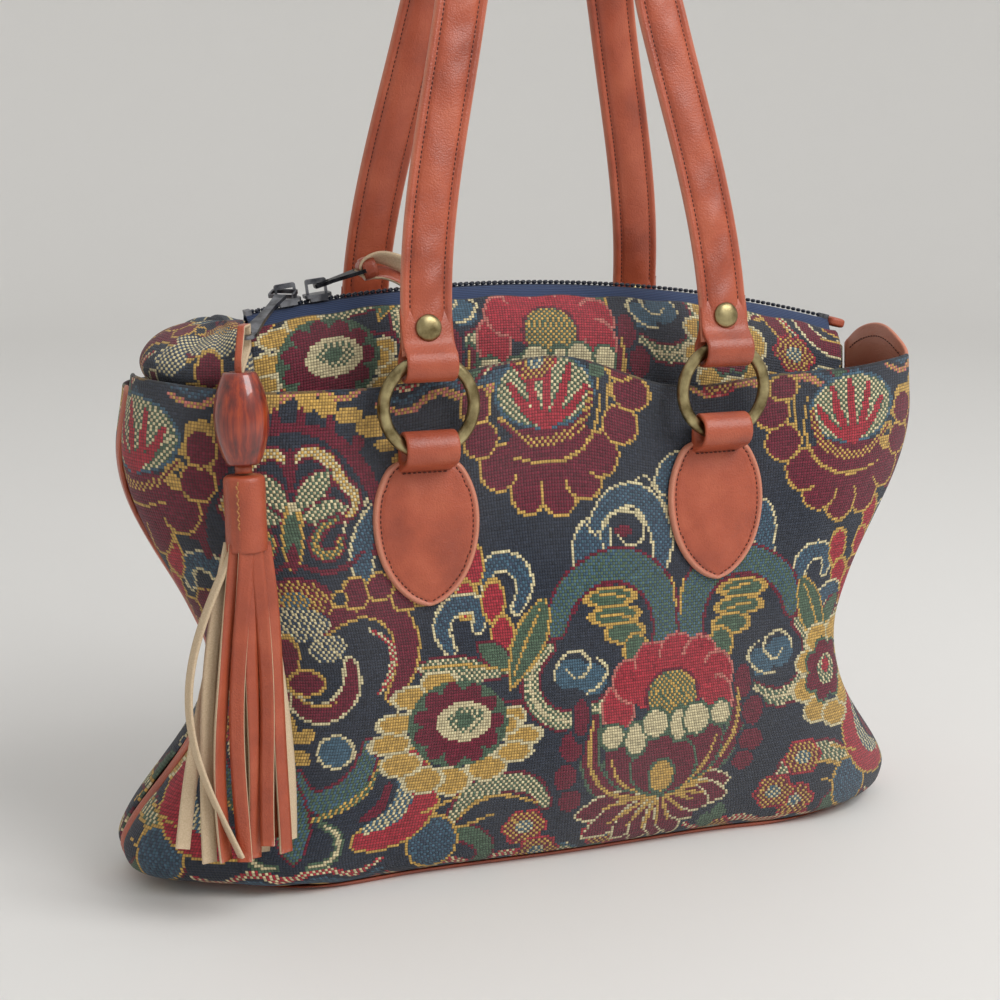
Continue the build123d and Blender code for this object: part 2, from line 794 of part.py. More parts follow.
# Strap, upright with its ring axis at the origin: it faces forward at its ends and lies flat at the top
path = strap_path()
flat_start = rivet_height - rivet_radius - clearance
fold_end = flat_start - 0.2 * strap_crown
with BuildPart() as strap_half:
    sections = []
    for station in range(strap_stations):
        share = station / (strap_stations - 1)
        point = path @ share
        heading = path % share
        turn = max(0.0, (share - twist_start) / (1 - twist_start))
        turn = turn * turn * (3 - 2 * turn) * math.pi / 2
        outward = Vector(heading.Z, 0, -heading.X)
        face = Vector(0, -1, 0) * math.cos(turn) + outward * math.sin(turn)
        sections.append(strap_section(Plane(point, x_dir=face.cross(heading), z_dir=heading)))
    loft(sections)
    end_plane = Plane.YZ.offset(tab_x)
    with BuildSketch(end_plane):
        with BuildLine():
            CenterArc((0, 0), loop_radius, 0, 360)
            CenterArc((0, fold_end), strap_crown / 2, 0, 360)
        make_hull()
        with Locations((0, (flat_start + strap_end_length) / 2)):
            Rectangle(strap_crown, strap_end_length - flat_start)
    extrude(amount=strap_width / 2, both=True)
    with BuildSketch(end_plane):
        Circle(bore_radius)
    extrude(amount=reach, both=True, mode=Mode.SUBTRACT)
    with BuildSketch(Plane((tab_x, 0, rivet_height), x_dir=(1, 0, 0), z_dir=(0, -1, 0))):
        Circle(rivet_post + clearance)
    extrude(amount=reach, both=True, mode=Mode.SUBTRACT)

with BuildPart() as rivets:
    for rivet_x in (-tab_x, tab_x):
        with BuildSketch(Plane((rivet_x, 0, rivet_height), x_dir=(1, 0, 0), z_dir=(0, -1, 0))):
            Circle(rivet_post)
        extrude(amount=strap_crown / 2, both=True)
        for face in (-1, 1):
            seat_y = face * strap_crown / 2
            seat = Plane((rivet_x, seat_y, rivet_height), x_dir=(1, 0, 0), z_dir=(0, face, 0))
            with BuildSketch(seat):
                Circle(rivet_radius)
            extrude(amount=rivet_cap, taper=rivet_taper)

# The strap leans back until its top meets the other strap's, half the gap from the middle
strap_lean = math.asin((-ring_y - strap_width / 2 - strap_gap / 2) / strap_rise)
strap_up = (0, math.sin(strap_lean), math.cos(strap_lean))
strap_place = Location(Plane((0, ring_y, strap_axis_height), x_dir=(1, 0, 0), z_dir=strap_up))
whole_strap = strap_half.part + strap_half.part.mirror(Plane.YZ)
front_strap = strap_place * whole_strap
front_rivets = strap_place * rivets.part
save(front_strap, "front_strap")
save(front_strap.mirror(Plane.XZ), "back_strap")
save(front_rivets, "front_rivets")
save(front_rivets.mirror(Plane.XZ), "back_rivets")
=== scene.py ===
"""Carpet bag in woven floral tapestry with cognac leather, antique brass and a bead tassel.

Every surface is a grid of points worked out from formulas in millimetres, in the frame of the solids.
"""

import bmesh
import bpy
import numpy as np
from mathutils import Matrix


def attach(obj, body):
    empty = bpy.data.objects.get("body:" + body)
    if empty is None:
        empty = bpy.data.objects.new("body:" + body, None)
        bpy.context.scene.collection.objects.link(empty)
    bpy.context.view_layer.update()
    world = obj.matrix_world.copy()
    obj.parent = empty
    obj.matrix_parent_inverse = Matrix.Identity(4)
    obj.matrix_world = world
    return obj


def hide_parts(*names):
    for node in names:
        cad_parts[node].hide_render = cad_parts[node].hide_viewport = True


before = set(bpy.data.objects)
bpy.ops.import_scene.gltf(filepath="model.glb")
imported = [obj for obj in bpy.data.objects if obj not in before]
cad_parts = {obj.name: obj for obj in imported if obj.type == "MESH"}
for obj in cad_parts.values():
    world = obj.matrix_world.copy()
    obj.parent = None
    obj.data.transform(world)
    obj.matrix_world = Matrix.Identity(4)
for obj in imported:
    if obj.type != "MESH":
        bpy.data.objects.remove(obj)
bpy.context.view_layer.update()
MM = 0.001

# Mesh joins: points this near are one (m), edges this short go (m), and holes up to this many sides are filled
MEET = 2e-6
NO_LENGTH = 1e-7
END_SIDES = 64

# Driving levels of the outer bag from the ground up, and the heights at which its solids' reach is read
DRIVE_HEIGHT = np.array([0.0, 18.0, 75.0, 155.0, 245.0, 295.0])
DRIVE_BELLY = np.array([5.0, 5.0, 11.0, 9.0, 6.0, 6.0])
DRIVE_RIGHT_SWELL = np.array([4.0, 18.0, 4.0, 2.0, -1.0, -1.0])
READ_HEIGHT = np.array([6.0, 12.0, 18.0, 25.0, 35.0, 50.0, 65.0, 80.0, 100.0, 125.0, 155.0, 185.0, 215.0, 240.0])

# Lowest and highest level: half length, half depth, belly, left swell and right swell
FOOT_LEVEL = [160.0, 42.0, 5.0, 18.0, 4.0]
TOP_LEVEL = [198.0, 42.0, 6.0, 9.0, -1.0]
CORNER_RUN = 20.0
CORNER_DROP = 9.0
EDGE_HEIGHT = 245.0
BASE_SEAM = 2.5
LEFT_SEAM = (5.0, 5.0)
RIGHT_SEAM = (14.0, 35.0)
LEFT_RISE = 2.0
RIGHT_RISE = 15.0
EDGE_LIFT_FROM = 120.0
GUSSET_ARCH_FROM = 150.0
CLOTH = 2.2
HEM = 26.0
STITCH = 1.45

# Pitch, length and radius of sewn stitches
EDGE_STITCH = (2.5, 1.7, 0.34)
NECK_STITCH = (2.5, 1.8, 0.36)
STRAP_STITCH = (2.3, 1.6, 0.34)
COLLAR_STITCH = (2.0, 2.2, 0.42)

# Zip arch
ARCH_RADIUS = 750.0
ARCH_X = -25.0
ARCH_Z = 288.0 - ARCH_RADIUS
ZIP_LEFT = -150.0
ZIP_RIGHT = 164.0
STRIP_RIGHT = 168.0
STRIP_HEM = 4.0
END_HEM = 2.0
END_CUT = 60
TOOTH_PITCH = 1.5
TOOTH_LENGTH, TOOTH_RADIUS, TOOTH_SIDE = 3.4, 0.95, 1.15
PILLOW_X = -160.0
PILLOW_FOOT = 180
PILLOW_CREST = 275.5
PILLOW_ARCH = 276.6
PILLOW_CUT = (92.0, 40.0)
POUCH_HALF_LENGTH, POUCH_HALF_DEPTH, POUCH_SQUARE = 134, 25.9, 0.22
POUCH_FOOT, POUCH_FLOOR, POUCH_TOP, POUCH_WALL = 2.6, 3.8, 188, 1.2

# Tabs, rings and straps
TAB_X = 76.0
RING_Y = -57.5375
TAB_AXIS = 218.0
STRAP_AXIS = 258.0
RING_Z = 238.0
RING_RADIUS = 22.0
WIRE_RADIUS = 3.0
LEAF_TOP = 211.5
LEAF_SEAM = 3.4
FOLD_FOOT = 207.0
FOLD_RADIUS = 8.61
FOLD_BORE = 6.4
STRAP_SEAM = 8.2
RIVET_RADIUS, RIVET_RISE, RIVET_SIDE, RIVET_UP = 6.3, 2.2, 3.25, 16.5
STRAP_WIDTH = 25.0
STRAP_RISE = 262.0
STRAP_LEAN = np.arcsin((-RING_Y - STRAP_WIDTH / 2 - 1.5) / STRAP_RISE)

# Tassel
TASSEL_TOP = np.array([-165.0, -59.2186, 259.0])
TASSEL_TILT = np.radians(3.8)
COLLAR_RADIUS = 9.45
LAP_TURN = -2.1
FRINGE_TOP = -77.5
STRIP_THICK = 1.4


def smooth_through(knots, values, at):
    """Natural cubic spline: the curve through values at knots that bends least, read at the places at."""
    knots, values, at = (np.asarray(item, float) for item in (knots, values, at))
    count = len(knots)
    gap = np.diff(knots)
    tail = (1,) * (values.ndim - 1)
    system = np.eye(count)
    inner = np.arange(1, count - 1)
    system[inner, inner - 1] = gap[:-1]
    system[inner, inner] = 2 * (gap[:-1] + gap[1:])
    system[inner, inner + 1] = gap[1:]
    push = np.zeros_like(values)
    push[1:-1] = 6 * np.diff(np.diff(values, axis=0) / gap.reshape((-1,) + tail), axis=0)
    bend = np.linalg.solve(system, push.reshape(count, -1)).reshape(values.shape)
    cell = np.clip(np.searchsorted(knots, at, side="right") - 1, 0, count - 2)
    step = gap[cell].reshape(at.shape + tail)
    late = ((at - knots[cell]) / gap[cell]).reshape(at.shape + tail)
    early = 1 - late
    curve = (early**3 - early) * bend[cell] + (late**3 - late) * bend[cell + 1]
    return early * values[cell] + late * values[cell + 1] + curve * step * step / 6


def line_run(points):
    """Length run along a line from its first point."""
    return np.concatenate([[0], np.cumsum(np.linalg.norm(np.diff(points, axis=0), axis=1))])


def read_line(at, run, line):
    """Points of a line at lengths along its run."""
    return np.stack([np.interp(at, run, values) for values in line.T], 1)


def smooth_line(points, count):
    """Smooth line through points, read at evenly spaced places along its run."""
    points = np.asarray(points, float)
    run = line_run(points)
    return smooth_through(run, points, np.linspace(0, run[-1], count))


def ease(value):
    """Smooth step from 0 to 1."""
    value = np.clip(value, 0, 1)
    return value * value * (3 - 2 * value)


def hill(value, middle, width):
    """Bell of height 1 about a middle."""
    return np.exp(-(((value - middle) / width) ** 2))


def unit(vectors):
    """Vectors drawn out to length 1."""
    return vectors / np.maximum(np.linalg.norm(vectors, axis=-1, keepdims=True), 1e-9)


def full_turn(count):
    """Angles spaced evenly round a circle."""
    return np.linspace(0, 2 * np.pi, count, endpoint=False)


def spread(*parts):
    """Points whose coordinates are the parts, each stretched to the size of the whole grid."""
    return np.stack(np.broadcast_arrays(*parts), -1)


# Closed outline of a level: twenty points and the lengths of the steps between them
QUARTER_STEPS = np.array([26.0, 20.0, 19.0, 74.0, 92.0])
OUTLINE_STEP = np.concatenate([QUARTER_STEPS, QUARTER_STEPS[::-1]] * 2)
OUTLINE_COUNT = len(OUTLINE_STEP)

# Turns on the outline: where the search for each side seam begins, and the span of the front's middle
LEFT_SEARCH_TURN = 10
RIGHT_SEARCH_TURN = 18
FRONT_TURNS = (12.6, 17.4)


def outline_bend_matrix():
    """Matrix that gives a closed cubic spline's bend at its points from the points themselves."""
    here = np.arange(OUTLINE_COUNT)
    before, after = (here - 1) % OUTLINE_COUNT, (here + 1) % OUTLINE_COUNT
    near, far = OUTLINE_STEP[before], OUTLINE_STEP
    system, push = np.zeros((2, OUTLINE_COUNT, OUTLINE_COUNT))
    system[here, before] = near
    system[here, here] = 2 * (near + far)
    system[here, after] = far
    push[here, before] = 6 / near
    push[here, here] = -6 / near - 6 / far
    push[here, after] = 6 / far
    return np.linalg.solve(system, push)


OUTLINE_BEND = outline_bend_matrix()


def solid_reach(node, axis, way):
    """How far a solid reaches one way along an axis, to 0.1 mm, where its mesh crosses each of the heights read."""
    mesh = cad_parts[node].data
    points = np.array([corner.co for corner in mesh.vertices]) / MM
    first, last = points[np.array([edge.vertices[:] for edge in mesh.edges])].swapaxes(0, 1)
    reach = []
    for height in READ_HEIGHT:
        across = (first[:, 2] - height) * (last[:, 2] - height) < 0
        low, high = first[across], last[across]
        late = (height - low[:, 2]) / (high[:, 2] - low[:, 2])
        reach.append((way * (low[:, axis] + (high - low)[:, axis] * late)).max())
    return np.round(reach, 1)


def read_levels():
    """Heights of the bag's levels, and the sizes of each: half length, half depth, belly, left and right swell.

    The solids give the reach. Belly and right swell run through the driving levels by number.
    """
    number = np.arange(len(DRIVE_HEIGHT))
    fine = np.linspace(0, number[-1], 4000)
    at = np.interp(READ_HEIGHT, smooth_through(number, DRIVE_HEIGHT, fine), fine)
    belly = smooth_through(number, DRIVE_BELLY, at)
    right = smooth_through(number, DRIVE_RIGHT_SWELL, at)
    length = solid_reach("right_gusset", 0, 1) - right
    depth = solid_reach("front_panel", 1, -1) - belly
    left = solid_reach("left_gusset", 0, -1) - length
    between = np.round(np.stack([length, depth, belly, left, right], 1), 1)
    heights = np.concatenate([DRIVE_HEIGHT[:1], READ_HEIGHT, DRIVE_HEIGHT[-1:]])
    return heights, np.concatenate([[FOOT_LEVEL], between, [TOP_LEVEL]])


LEVEL_HEIGHT, LEVEL_SIZES = read_levels()


def outline_corners(height):
    """The twenty points of the bag's outline at each height: right side, back, left side, front."""
    length, depth, belly, left, right = smooth_through(LEVEL_HEIGHT, LEVEL_SIZES, height).T

    def side(swell):
        x = np.stack([length + swell, length + 0.75 * swell, length - 0.15 * CORNER_RUN,
                      length - CORNER_RUN, 0.55 * length], 1)
        y = np.stack([0 * depth, 0.5 * depth, depth - CORNER_DROP, depth, depth + 0.72 * belly], 1)
        return np.stack([x, y], 2)

    middle = np.stack([0 * length, depth + belly], 1)[:, None]
    back = np.concatenate([side(right), middle, side(left)[:, ::-1] * [-1, 1]], 1)
    front = back[:, ::-1][:, 1:-1] * [1, -1]
    return np.concatenate([back, front], 1)


def bag_outside(turn, height):
    """Points of the bag's outside: turn counts the outline's points, for all rows or row by row; height runs up."""
    turn, height = np.asarray(turn, float), np.asarray(height, float)
    corner = outline_corners(height)
    bend = np.einsum("ij,rjk->rik", OUTLINE_BEND, corner)
    turn = np.broadcast_to(turn, (len(height), turn.shape[-1]))
    row = np.arange(len(height))[:, None]
    cell = np.floor(turn).astype(int) % OUTLINE_COUNT
    after = (cell + 1) % OUTLINE_COUNT
    step = OUTLINE_STEP[cell][..., None]
    late = (turn - np.floor(turn))[..., None]
    early = 1 - late
    curve = (early**3 - early) * bend[row, cell] + (late**3 - late) * bend[row, after]
    flat = early * corner[row, cell] + late * corner[row, after] + curve * step * step / 6
    return np.concatenate([flat, np.broadcast_to(height[:, None, None], flat.shape[:2] + (1,))], 2)


def seam_turn(height, seam, start):
    """Turn at which the front's cloth meets a gusset: where Y comes nearest to minus the seam's half depth."""
    fine = np.linspace(start, start + 2, 600)
    reach = np.interp(height, [BASE_SEAM, EDGE_HEIGHT], seam)
    return fine[np.abs(bag_outside(fine, height)[..., 1] + reach[:, None]).argmin(1)]


def even_turns(height, first, last, count):
    """Turns from first to last in each row, evenly spaced along the outline's run."""
    fine = first[:, None] + (last - first)[:, None] * np.linspace(0, 1, 700)
    run = run_along(bag_outside(fine, height), 1)
    want = run[:, -1:] * np.linspace(0, 1, count)
    return np.stack([np.interp(*row) for row in zip(want, run, fine)])


def grid_normals(points):
    """Unit normals of a grid: its column direction crossed with its row direction."""
    return unit(np.cross(np.gradient(points, axis=1), np.gradient(points, axis=0)))


def run_along(points, axis):
    """Length run along a grid's rows or columns from its first point."""
    step = np.linalg.norm(np.diff(points, axis=axis), axis=2)
    return np.concatenate([np.zeros_like(np.take(step, [0], axis)), np.cumsum(step, axis)], axis)


def quads(rows, columns, wrap=False, close=False):
    """Corners of a grid's quads, with the row and column of each; wrap joins the last column to the first, close
    the last row to the first."""
    r, c = np.meshgrid(np.arange(rows - (not close)), np.arange(columns - (not wrap)), indexing="ij")
    r, c = r.ravel(), c.ravel()
    up, on = (r + 1) % rows, (c + 1) % columns
    return np.stack([r * columns + c, r * columns + on, up * columns + on, up * columns + c], 1), r, c


class Piece:
    """Gathers grids of points into one mesh with cloth coordinates, thread colours and a worn rim."""

    def __init__(self, name):
        self.name = name
        self.points, self.corners, self.uvs, self.threads, self.rims, self.finish = [], [], [], [], [], []
        self.total = 0

    def grid(self, points, finish=0, wrap=False, close=False, uv=None, thread=None, rim=None, flip=False):
        """Quads over a grid, with its cloth coordinates, thread colours and worn rim where it has them."""
        corner, r, c = quads(*points.shape[:2], wrap, close)
        place = np.zeros(corner.shape + (2,))
        if uv is not None:
            place = np.stack([uv[r, c], uv[r, c + 1], uv[r + 1, c + 1], uv[r + 1, c]], 1)
        if flip:
            corner, place = corner[:, ::-1], place[:, ::-1]
        return self.add(points, corner, finish, place, thread, rim)

    def copies(self, points, finish=0):
        """Many small tubes: points are copies by rings by sides."""
        count, rings, sides = points.shape[:3]
        corner = quads(rings, sides, wrap=True)[0]
        corner = (corner[None] + (np.arange(count) * rings * sides)[:, None, None]).reshape(-1, 4)
        return self.add(points, corner, finish, np.zeros(corner.shape + (2,)))

    def add(self, points, corner, finish, place, thread=None, rim=None):
        """Takes in points and the quads between them."""
        count = points.size // 3
        self.points.append(points.reshape(-1, 3))
        self.corners.append(corner + self.total)
        self.uvs.append(place)
        self.threads.append(np.ones((len(corner), 4)) if thread is None else thread.reshape(-1, 4))
        self.rims.append(np.zeros(count) if rim is None else np.broadcast_to(rim, points.shape[:2]).ravel())
        self.finish.append(np.full(len(corner), finish))
        self.total += count
        return self

    def mirrored(self, name):
        """The same piece on the other side of the bag: Y turned round, faces turned back outwards."""
        other = Piece(name)
        other.points = [points * [1, -1, 1] for points in self.points]
        other.corners = [corner[:, ::-1] for corner in self.corners]
        other.uvs = [place[:, ::-1] for place in self.uvs]
        other.threads, other.rims, other.finish = self.threads, self.rims, self.finish
        other.total = self.total
        return other

    def make(self, finishes, body, slot, *nodes):
        """Builds the mesh, joins points that meet, and sets the piece on its body in place of its solids."""
        mesh = bpy.data.meshes.new(self.name)
        points = np.concatenate(self.points) * MM
        corner = np.concatenate(self.corners)
        mesh.vertices.add(len(points))
        mesh.vertices.foreach_set("co", points.ravel())
        mesh.loops.add(corner.size)
        mesh.loops.foreach_set("vertex_index", corner.ravel())
        mesh.polygons.add(len(corner))
        mesh.polygons.foreach_set("loop_start", np.arange(len(corner)) * 4)
        mesh.polygons.foreach_set("material_index", np.concatenate(self.finish))
        mesh.update(calc_edges=True)
        mesh.uv_layers.new(name="cloth").data.foreach_set("uv", np.concatenate(self.uvs).ravel())
        thread = mesh.attributes.new("thread", "FLOAT_COLOR", "FACE")
        thread.data.foreach_set("color", np.concatenate(self.threads).ravel())
        rim = mesh.attributes.new("rim", "FLOAT", "POINT")
        rim.data.foreach_set("value", np.concatenate(self.rims))
        for finish in finishes:
            mesh.materials.append(finish.material)
        shape = bmesh.new()
        shape.from_mesh(mesh)
        bmesh.ops.remove_doubles(shape, verts=shape.verts, dist=MEET)
        bmesh.ops.dissolve_degenerate(shape, dist=NO_LENGTH, edges=shape.edges)
        bmesh.ops.holes_fill(shape, edges=[edge for edge in shape.edges if edge.is_boundary], sides=END_SIDES)
        shape.to_mesh(mesh)
        shape.free()
        mesh.shade_smooth()
        piece = bpy.data.objects.new(self.name, mesh)
        bpy.context.scene.collection.objects.link(piece)
        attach(piece, body)
        if nodes:
            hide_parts(*nodes)
        return piece

    def make_pair(self, finishes, body, slot, node):
        """Makes a front piece, and its mirrored twin with back in place of front in every name."""
        twin = self.mirrored(self.name.replace("front", "back"))
        self.make(finishes, body, slot, node)
        twin.make(finishes, body.replace("front", "back"), slot, node.replace("front", "back"))


class Term:
    """A shader value that takes part in sums."""

    def __init__(self, finish, socket):
        self.finish, self.socket = finish, socket

    def work(self, operation, left, right=0.0):
        return self.finish.node("ShaderNodeMath", {"operation": operation}, {0: left, 1: right})

    def __add__(self, other):
        return self.work("ADD", self, other)

    def __sub__(self, other):
        return self.work("SUBTRACT", self, other)

    def __rsub__(self, other):
        return self.work("SUBTRACT", other, self)

    def __mul__(self, other):
        return self.work("MULTIPLY", self, other)

    def __pow__(self, other):
        return self.work("POWER", self, other)

    __radd__ = __add__
    __rmul__ = __mul__

    def fraction(self):
        return self.work("FRACT", self)

    def sine(self):
        return self.work("SINE", self)

    def limited(self):
        return self.work("MINIMUM", self.work("MAXIMUM", self, 0.0), 1.0)


class Finish:
    """One procedural material."""

    def __init__(self, name, **values):
        self.material = bpy.data.materials.new(name)
        self.material.use_nodes = True
        self.tree = self.material.node_tree
        self.tree.nodes.clear()
        self.shader = self.tree.nodes.new("ShaderNodeBsdfPrincipled")
        end = self.tree.nodes.new("ShaderNodeOutputMaterial")
        self.tree.links.new(self.shader.outputs[0], end.inputs["Surface"])
        self.give(**values)

    def put(self, socket, value):
        """Links a term to a socket, or sets a number, colour or vector on it."""
        if isinstance(value, Term):
            self.tree.links.new(value.socket, socket)
        elif hasattr(value, "__len__") and len(value) == 3 and socket.type == "RGBA":
            socket.default_value = (*value, 1.0)
        else:
            socket.default_value = value

    def node(self, kind, settings=None, sockets=None, out=0):
        """A node of one kind: settings first, then its sockets' values or links."""
        node = self.tree.nodes.new(kind)
        for name, value in (settings or {}).items():
            if name == "stops":
                ramp = node.color_ramp.elements
                while len(ramp) < len(value):
                    ramp.new(0.5)
                for element, (place, colour) in zip(ramp, value):
                    element.position = place
                    element.color = (*colour, 1.0)
            else:
                setattr(node, name, value)
        for key, value in (sockets or {}).items():
            self.put(node.inputs[key], value)
        return Term(self, node.outputs[out])

    def give(self, **values):
        """Sets the shader's sockets; an underscore stands for a space."""
        for name, value in values.items():
            self.put(self.shader.inputs[name.replace("_", " ")], value)
        return self

    def place(self):
        """Object coordinates, in metres."""
        return self.node("ShaderNodeTexCoord", out="Object")

    def noise(self, scale, detail=3.0, roughness=0.55, at=None):
        """Soft noise from 0 to 1."""
        sockets = {"Vector": at or self.place(), "Scale": scale, "Detail": detail, "Roughness": roughness}
        return self.node("ShaderNodeTexNoise", None, sockets)

    def mix(self, factor, first, second):
        """Colour between two colours."""
        return self.node("ShaderNodeMix", {"data_type": "RGBA"}, {0: factor, 6: first, 7: second}, out=2)

    def bumped(self, height, distance, strength=1.0):
        """Normal from a height."""
        return self.node("ShaderNodeBump", None, {"Height": height, "Distance": distance, "Strength": strength})

    def rim(self):
        """The worn rim's share at a point."""
        return self.node("ShaderNodeAttribute", {"attribute_name": "rim"}, out="Fac")

    def cloth_place(self):
        """Cloth coordinates, in stitches: across and up."""
        place = self.node("ShaderNodeUVMap", {"uv_map": "cloth"})
        return [self.node("ShaderNodeSeparateXYZ", None, {0: place}, out=axis) for axis in (0, 1)]


def paint(red, green, blue):
    """Linear colour from a screen colour."""
    value = np.array([red, green, blue]) / 255
    return tuple(np.where(value <= 0.04045, value / 12.92, ((value + 0.055) / 1.055) ** 2.4))


# Woven tapestry: one colour for each stitch, laid motif over motif on a repeating cloth
GROUND, MAROON, RED, GOLD, CREAM, SAGE, TEAL, SLATE, ROSE, LINING = range(10)
THREADS = np.array([paint(47, 54, 68), paint(118, 30, 52), paint(180, 48, 62), paint(212, 170, 88),
                    paint(226, 212, 168), paint(84, 108, 86), paint(72, 104, 124), paint(62, 78, 98),
                    paint(205, 120, 110), paint(24, 26, 32)])
REPEAT_ACROSS = 372.0
REPEAT_UP = 244.0


class Tapestry:
    """Threads of the cloth at given places, in millimetres across and up the cloth."""

    def __init__(self, across, up):
        self.across, self.up = across, up
        self.even = (np.floor(across / STITCH) + np.floor(up / STITCH)).astype(int) % 2 == 0
        self.row = np.floor(up / STITCH).astype(int)
        self.thread = np.full(across.shape, GROUND)

    def about(self, x, z, flip=1):
        """Places measured from a motif's middle; the motif repeats over the cloth."""
        self.x = flip * ((self.across - x + REPEAT_ACROSS / 2) % REPEAT_ACROSS - REPEAT_ACROSS / 2)
        self.z = (self.up - z + REPEAT_UP / 2) % REPEAT_UP - REPEAT_UP / 2
        return self

    def lay(self, depth, fill, rim=None, width=STITCH):
        """Fills where depth is below 0, with a rim outside it; a pair of threads alternates stitch by stitch."""
        if rim is not None:
            self.thread[(depth >= 0) & (depth < width)] = rim
        first, second = fill if isinstance(fill, tuple) else (fill, fill)
        self.thread[(depth < 0) & self.even] = first
        self.thread[(depth < 0) & ~self.even] = second

    def ovals(self, fill, rim, *shapes):
        """Ovals, each by its middle and half sizes."""
        for x, z, wide, high in shapes:
            depth = (np.hypot((self.x - x) / wide, (self.z - z) / high) - 1) * min(wide, high)
            self.lay(depth, fill, rim)

    def leaves(self, fill, rim, width, *shapes):
        """Pointed leaves, each from its foot to its tip, widest past the middle."""
        for foot_x, foot_z, tip_x, tip_z in shapes:
            run = np.hypot(tip_x - foot_x, tip_z - foot_z)
            on_x, on_z = (tip_x - foot_x) / run, (tip_z - foot_z) / run
            along = ((self.x - foot_x) * on_x + (self.z - foot_z) * on_z) / run
            aside = np.abs((self.z - foot_z) * on_x - (self.x - foot_x) * on_z)
            swell = np.sin(np.pi * np.clip(along, 0, 1) ** 1.25) ** 0.8
            outside = np.maximum(np.maximum(-along, along - 1), 0) * run
            self.lay(aside - width * swell + outside, fill, rim)

    def bands(self, fill, rim, width, *lines):
        """Curved bands that taper towards both ends: the distance to a smooth line through points."""
        for points in lines:
            line = smooth_line(points, 40)
            near = np.full(self.x.shape, 1e9)
            for (ax, az), (bx, bz), share in zip(line[:-1], line[1:], np.linspace(0, 1, 39)):
                run_x, run_z = bx - ax, bz - az
                along = np.clip(((self.x - ax) * run_x + (self.z - az) * run_z) / (run_x**2 + run_z**2), 0, 1)
                away = np.hypot(self.x - ax - along * run_x, self.z - az - along * run_z)
                near = np.minimum(near, away - width * (0.55 + 0.45 * np.sin(np.pi * share)))
            self.lay(near, fill, rim)

    def lobes(self, fill, rim, count, inner, outer, flat=1.0, phase=0.0):
        """Ring of round petals about the middle."""
        turn = np.arctan2(self.z / flat, self.x)
        reach = inner + (outer - inner) * np.abs(np.cos(count * (turn - phase) / 2)) ** 0.7
        self.lay(np.hypot(self.x, self.z / flat) - reach, fill, rim)

    def colours(self):
        """Colour of each stitch, a little uneven from thread to thread, with painted shade that darkens every other
        row.
        """
        rng = np.random.default_rng(11)
        # Random tone for each thread, times painted shade that makes odd rows darker than even ones
        uneven_and_row_shade = rng.normal(1.0, 0.13, self.thread.shape) * np.where(self.row % 2 == 0, 1.06, 0.94)
        colour = THREADS[self.thread] * np.clip(uneven_and_row_shade, 0.6, 1.5)[..., None]
        return np.concatenate([np.clip(colour, 0, 1), np.ones(self.thread.shape + (1,))], -1)


def lotus(cloth):
    """Great lotus: a red crown over a gold dome, cream scallops, a maroon heart, a gold cup and a fan below."""
    cup = [(-38, 34), (-40, 12), (-31, -5), (-16, -11), (0, -12), (18, -7), (33, 6), (42, 20), (43, 40)]
    cloth.bands(MAROON, SAGE, 5.5, cup)
    cloth.ovals(MAROON, GROUND, (-50, 21, 6, 8), (-53, 5, 6, 7), (-50, -8, 6, 6), (-45, 36, 4, 10),
                (52, 28, 6, 8), (51, 12, 7, 6), (46, 44, 5, 9), (47, 1, 6, 5))
    fan = [(-46, -18), (-41, -31), (-24, -34), (-12, -39), (0, -38), (10, -37), (20, -28), (40, -8), (39, -17),
           (29, -21)]
    for tip_x, tip_z in fan:
        cloth.leaves(MAROON, CREAM, 6.5, (0.1 * tip_x, -9, tip_x, tip_z))
    for tip_x, tip_z in fan:
        cloth.leaves(GOLD, None, 1.2, (0, -9, 0.72 * tip_x, 0.75 * tip_z - 2))
    cloth.ovals(SAGE, None, (29, -32, 5, 5), (36, -27, 4, 5), (-33, -40, 5, 4))
    cloth.bands(GOLD, None, 1.5, cup)
    cloth.ovals(RED, ROSE, (-25, 38, 8, 12), (-19, 52, 8, 10), (-6, 61, 9, 9), (8, 64, 9, 9), (21, 60, 9, 10),
                (31, 50, 8, 11), (31, 37, 8, 11))
    cloth.ovals(RED, None, (4, 48, 25, 14))
    cloth.ovals((GOLD, SAGE), MAROON, (5, 42, 14, 13))
    cloth.ovals(TEAL, None, (2, 22, 33, 9))
    cloth.leaves(MAROON, SAGE, 12, (-2, -10, -30, 20), (2, -10, 33, 25))
    cloth.ovals(MAROON, SAGE, (1, 5, 18, 16))
    cloth.ovals(CREAM, SAGE, (-28, 24, 6, 6), (-15, 21, 5.5, 8), (-4, 28, 7, 7), (9, 26, 5, 8), (19, 28, 7, 8),
                (33, 29, 5.5, 6))
    cloth.bands(GOLD, None, 0.9, [(-28, 12), (-24, 0), (-13, -8)], [(31, 18), (24, 2), (13, -8)])
    cloth.ovals(GOLD, SAGE, (0, -1, 6.5, 8.5))


def gold_rosette(cloth):
    """Open flower with ragged gold petals round a maroon ring and a cream and green middle."""
    cloth.ovals(GOLD, CREAM, (-34, -7, 9, 4.5), (-30, 3, 9, 4.5), (-22, 15, 9, 5), (-9, 21, 8, 5.5), (33, -9, 8, 4),
                (28, -17, 8, 4.5), (14, -24, 9, 5.5), (-4, -29, 9, 6.5), (-18, -27, 9, 6), (-29, -18, 9, 5.5),
                (28, 1, 5, 5), (24, -3, 6, 4))
    cloth.ovals(SAGE, None, (0, 0, 25, 22))
    cloth.lobes(MAROON, None, 11, 17, 23, 0.92)
    cloth.ovals(CREAM, None, (3, 1, 14, 10))
    cloth.ovals((SAGE, CREAM), None, (4, 2, 9, 6.5))
    cloth.ovals(SAGE, None, (3, 2, 4, 4))


